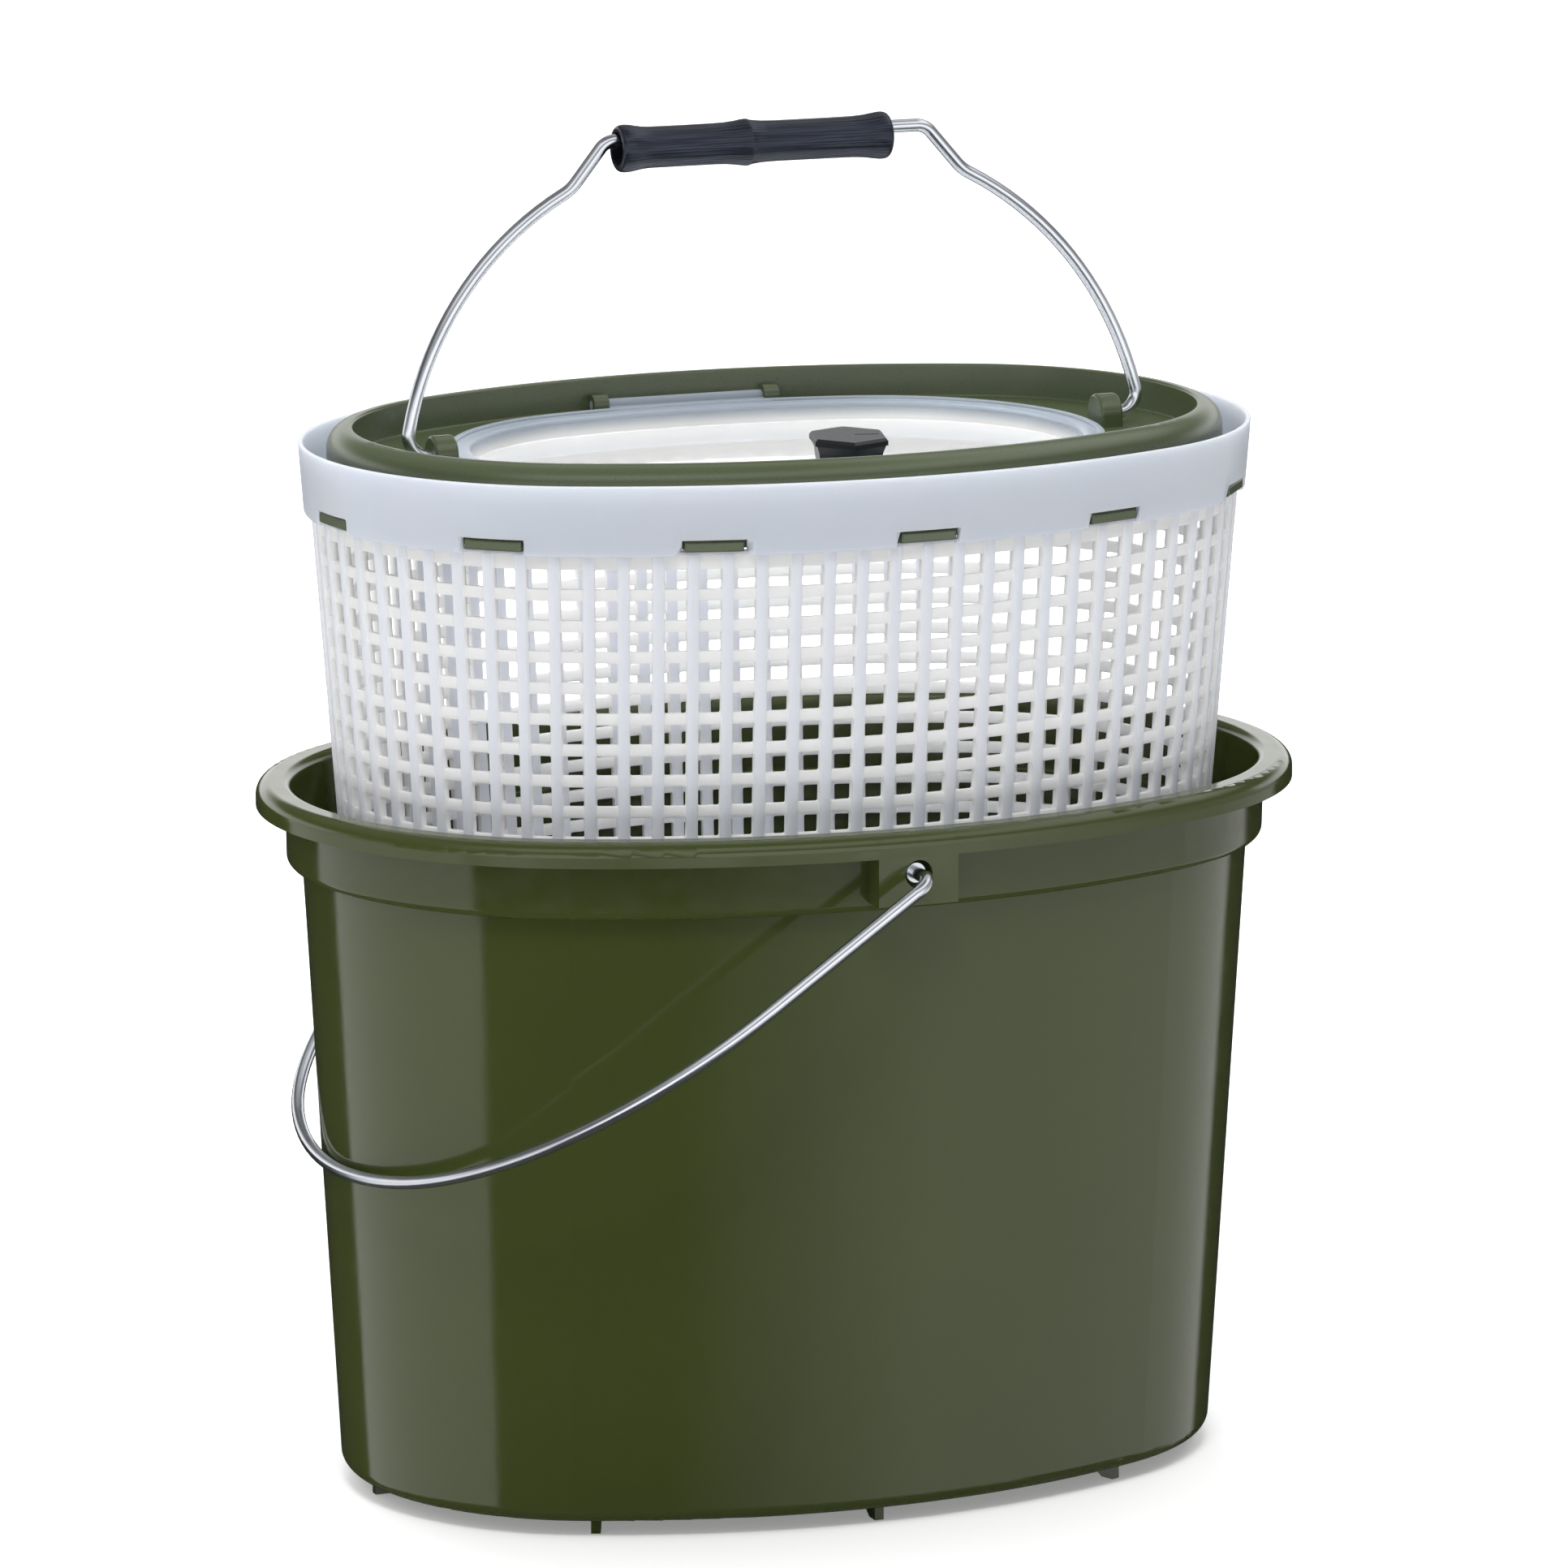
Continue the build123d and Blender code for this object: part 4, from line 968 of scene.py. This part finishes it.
# %% [markdown]
# ## The world
# The world shows three things. Straight to the camera and through the lid it is white. To a
# diffuse surface it is a soft light, stronger from the back left. To a glossy surface it is a
# studio: rings of softboxes and dark gaps stacked by height, each with its own levels by bearing.
# Glossy plastic shows what stands round it, and real softboxes would have to be many to give the
# same bands, so the world draws them.

# %% Directions in the world
world = bpy.data.worlds.new("studio")
bpy.context.scene.world = world
world.use_nodes = True
tree = world.node_tree
tree.nodes.clear()
direction = node(tree, "ShaderNodeTexCoord").outputs["Generated"]
axes = node(tree, "ShaderNodeSeparateXYZ", sockets={"Vector": direction})
height = axes.outputs["Z"]
front = node(tree, "ShaderNodeMath", {"operation": "MULTIPLY"}, {0: axes.outputs["Y"], 1: -1.0})
bearing = node(
    tree,
    "ShaderNodeMath",
    {"operation": "ARCTAN2"},
    {0: axes.outputs["X"], 1: front.outputs["Value"]},
)
turn = node(
    tree,
    "ShaderNodeMapRange",
    sockets={"Value": bearing.outputs["Value"], "From Min": -math.pi, "From Max": math.pi},
)
print("nodes for directions:", len(tree.nodes))

# %% Softboxes for reflections
# Each ring starts at a height, from -1 straight down to 1 straight up, and holds its level of
# light at each bearing in degrees, where 0 is the front and 90 the +X end.
BRIGHTEST = 2.0
DARK = 0.02
studio_rings = [
    ((-1.0, -0.99), [(-180, 0.08), (180, 0.08)]),
    (
        (-0.55, -0.45),
        [(-147, DARK), (-144, 1.15), (-66, 1.15), (-64, DARK), (-12, DARK), (28, 1), (114, 1), (120, DARK)],
    ),
    (
        (-0.215, -0.195),
        [(-147, DARK), (-144, 1.05), (-70, 1.05), (-55, 1.7), (20, 1.7), (62, 0.5), (114, 0.5), (120, DARK)],
    ),
    (
        (0.0, 0.07),
        [(-125, 1.4), (-105, 0.4), (-70, 0.5), (-50, 1.7), (20, 1.7), (62, 0.5), (98, 0.5), (105, 1.4)],
    ),
    ((0.22, 0.36), [(-75, 0.1), (-45, 0.3), (60, 0.3), (120, 0.1)]),
    ((0.5, 0.7), [(-80, 0.3), (-50, 1.4), (120, 1.4), (150, 0.6)]),
    ((0.84, 0.94), [(-180, 0.2), (180, 0.2)]),
]
studio_level = DARK / BRIGHTEST
for (starts, full), levels in studio_rings:
    ring = node(tree, "ShaderNodeValToRGB", sockets={"Fac": turn.outputs["Result"]})
    ramp_stops(ring, [((at + 180) / 360, (*(level / BRIGHTEST,) * 3, 1)) for at, level in levels])
    above = node(
        tree,
        "ShaderNodeMapRange",
        sockets={"Value": height, "From Min": starts, "From Max": full},
    )
    stacked = node(
        tree,
        "ShaderNodeMix",
        {"data_type": "FLOAT"},
        {"Factor": above.outputs["Result"], "A": studio_level, "B": ring.outputs["Color"]},
    )
    studio_level = stacked.outputs["Result"]
studio_light = node(tree, "ShaderNodeMath", {"operation": "MULTIPLY"}, {0: studio_level, 1: BRIGHTEST})
print("rings of softboxes:", len(studio_rings))

# %% Soft light from the back left
BACK_LEFT = (-0.25, 0.95, 0.15)

towards_back = node(
    tree,
    "ShaderNodeVectorMath",
    {"operation": "DOT_PRODUCT"},
    {0: direction, 1: BACK_LEFT},
)
soft_light = node(
    tree,
    "ShaderNodeMapRange",
    sockets={
        "Value": towards_back.outputs["Value"],
        "From Min": -0.35,
        "From Max": 0.5,
        "To Min": 0.32,
        "To Max": 1.0,
    },
)
print("soft light from", BACK_LEFT)

# %% What each kind of ray sees
path = node(tree, "ShaderNodeLightPath")
on_surfaces = node(
    tree,
    "ShaderNodeMix",
    {"data_type": "FLOAT"},
    {
        "Factor": path.outputs["Is Glossy Ray"],
        "A": soft_light.outputs["Result"],
        "B": studio_light.outputs["Value"],
    },
)
backdrop = node(
    tree,
    "ShaderNodeMath",
    {"operation": "MAXIMUM"},
    {0: path.outputs["Is Camera Ray"], 1: path.outputs["Is Transmission Ray"]},
)
strength = node(
    tree,
    "ShaderNodeMix",
    {"data_type": "FLOAT"},
    {"Factor": backdrop.outputs["Value"], "A": on_surfaces.outputs["Result"], "B": 1.0},
)
background = node(
    tree,
    "ShaderNodeBackground",
    sockets={"Color": (1, 1, 1, 1), "Strength": strength.outputs["Result"]},
)
node(tree, "ShaderNodeOutputWorld", sockets={"Surface": background.outputs["Background"]})
print("nodes in the world:", len(tree.nodes))

# %% [markdown]
# ## Lamps
# Five area lamps shape the object and throw its soft shadow. They stay out of reflections,
# because the world already holds the softboxes that the plastic mirrors. Places and sizes are
# in metres, and powers in watts.

# %% Lamps
LAMP_AIM = Vector((0, 0, 0.25))


def softbox(name, location, size, power):
    """An area lamp that faces the middle of the object."""
    data = bpy.data.lights.new(name, "AREA")
    data.shape = "RECTANGLE"
    data.size, data.size_y = size
    data.energy = power
    lamp = bpy.data.objects.new(name, data)
    lamp.location = location
    lamp.rotation_euler = (LAMP_AIM - Vector(location)).to_track_quat("-Z", "Y").to_euler()
    lamp.visible_glossy = False
    lamp.visible_camera = False
    bpy.context.scene.collection.objects.link(lamp)


softbox("left_softbox", (-1.6, -1.3, 1.2), (1.2, 1.6), 5)
softbox("front_softbox", (-0.5, -1.4, 2.3), (0.8, 0.6), 25)
softbox("right_softbox", (1.3, -0.3, 2.0), (1.0, 0.8), 6)
softbox("top_softbox", (0.1, 0.4, 2.0), (1.6, 1.2), 9)
softbox("back_softbox", (0.0, 1.9, 0.9), (1.6, 1.2), 14)
print("lamps:", len(bpy.data.lights))

# %% [markdown]
# ## Colour of the frame and sizes
# The Standard view shows each colour as it is written. The last cell prints the box of the
# dressed object; the box of the solids is printed right after the import.

# %% Look of the frame
bpy.context.scene.view_settings.view_transform = "Standard"

# %% Size of the dressed object
low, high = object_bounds()
print("visual box in mm:", [round(v / MM, 1) for v in (*low, *high)])
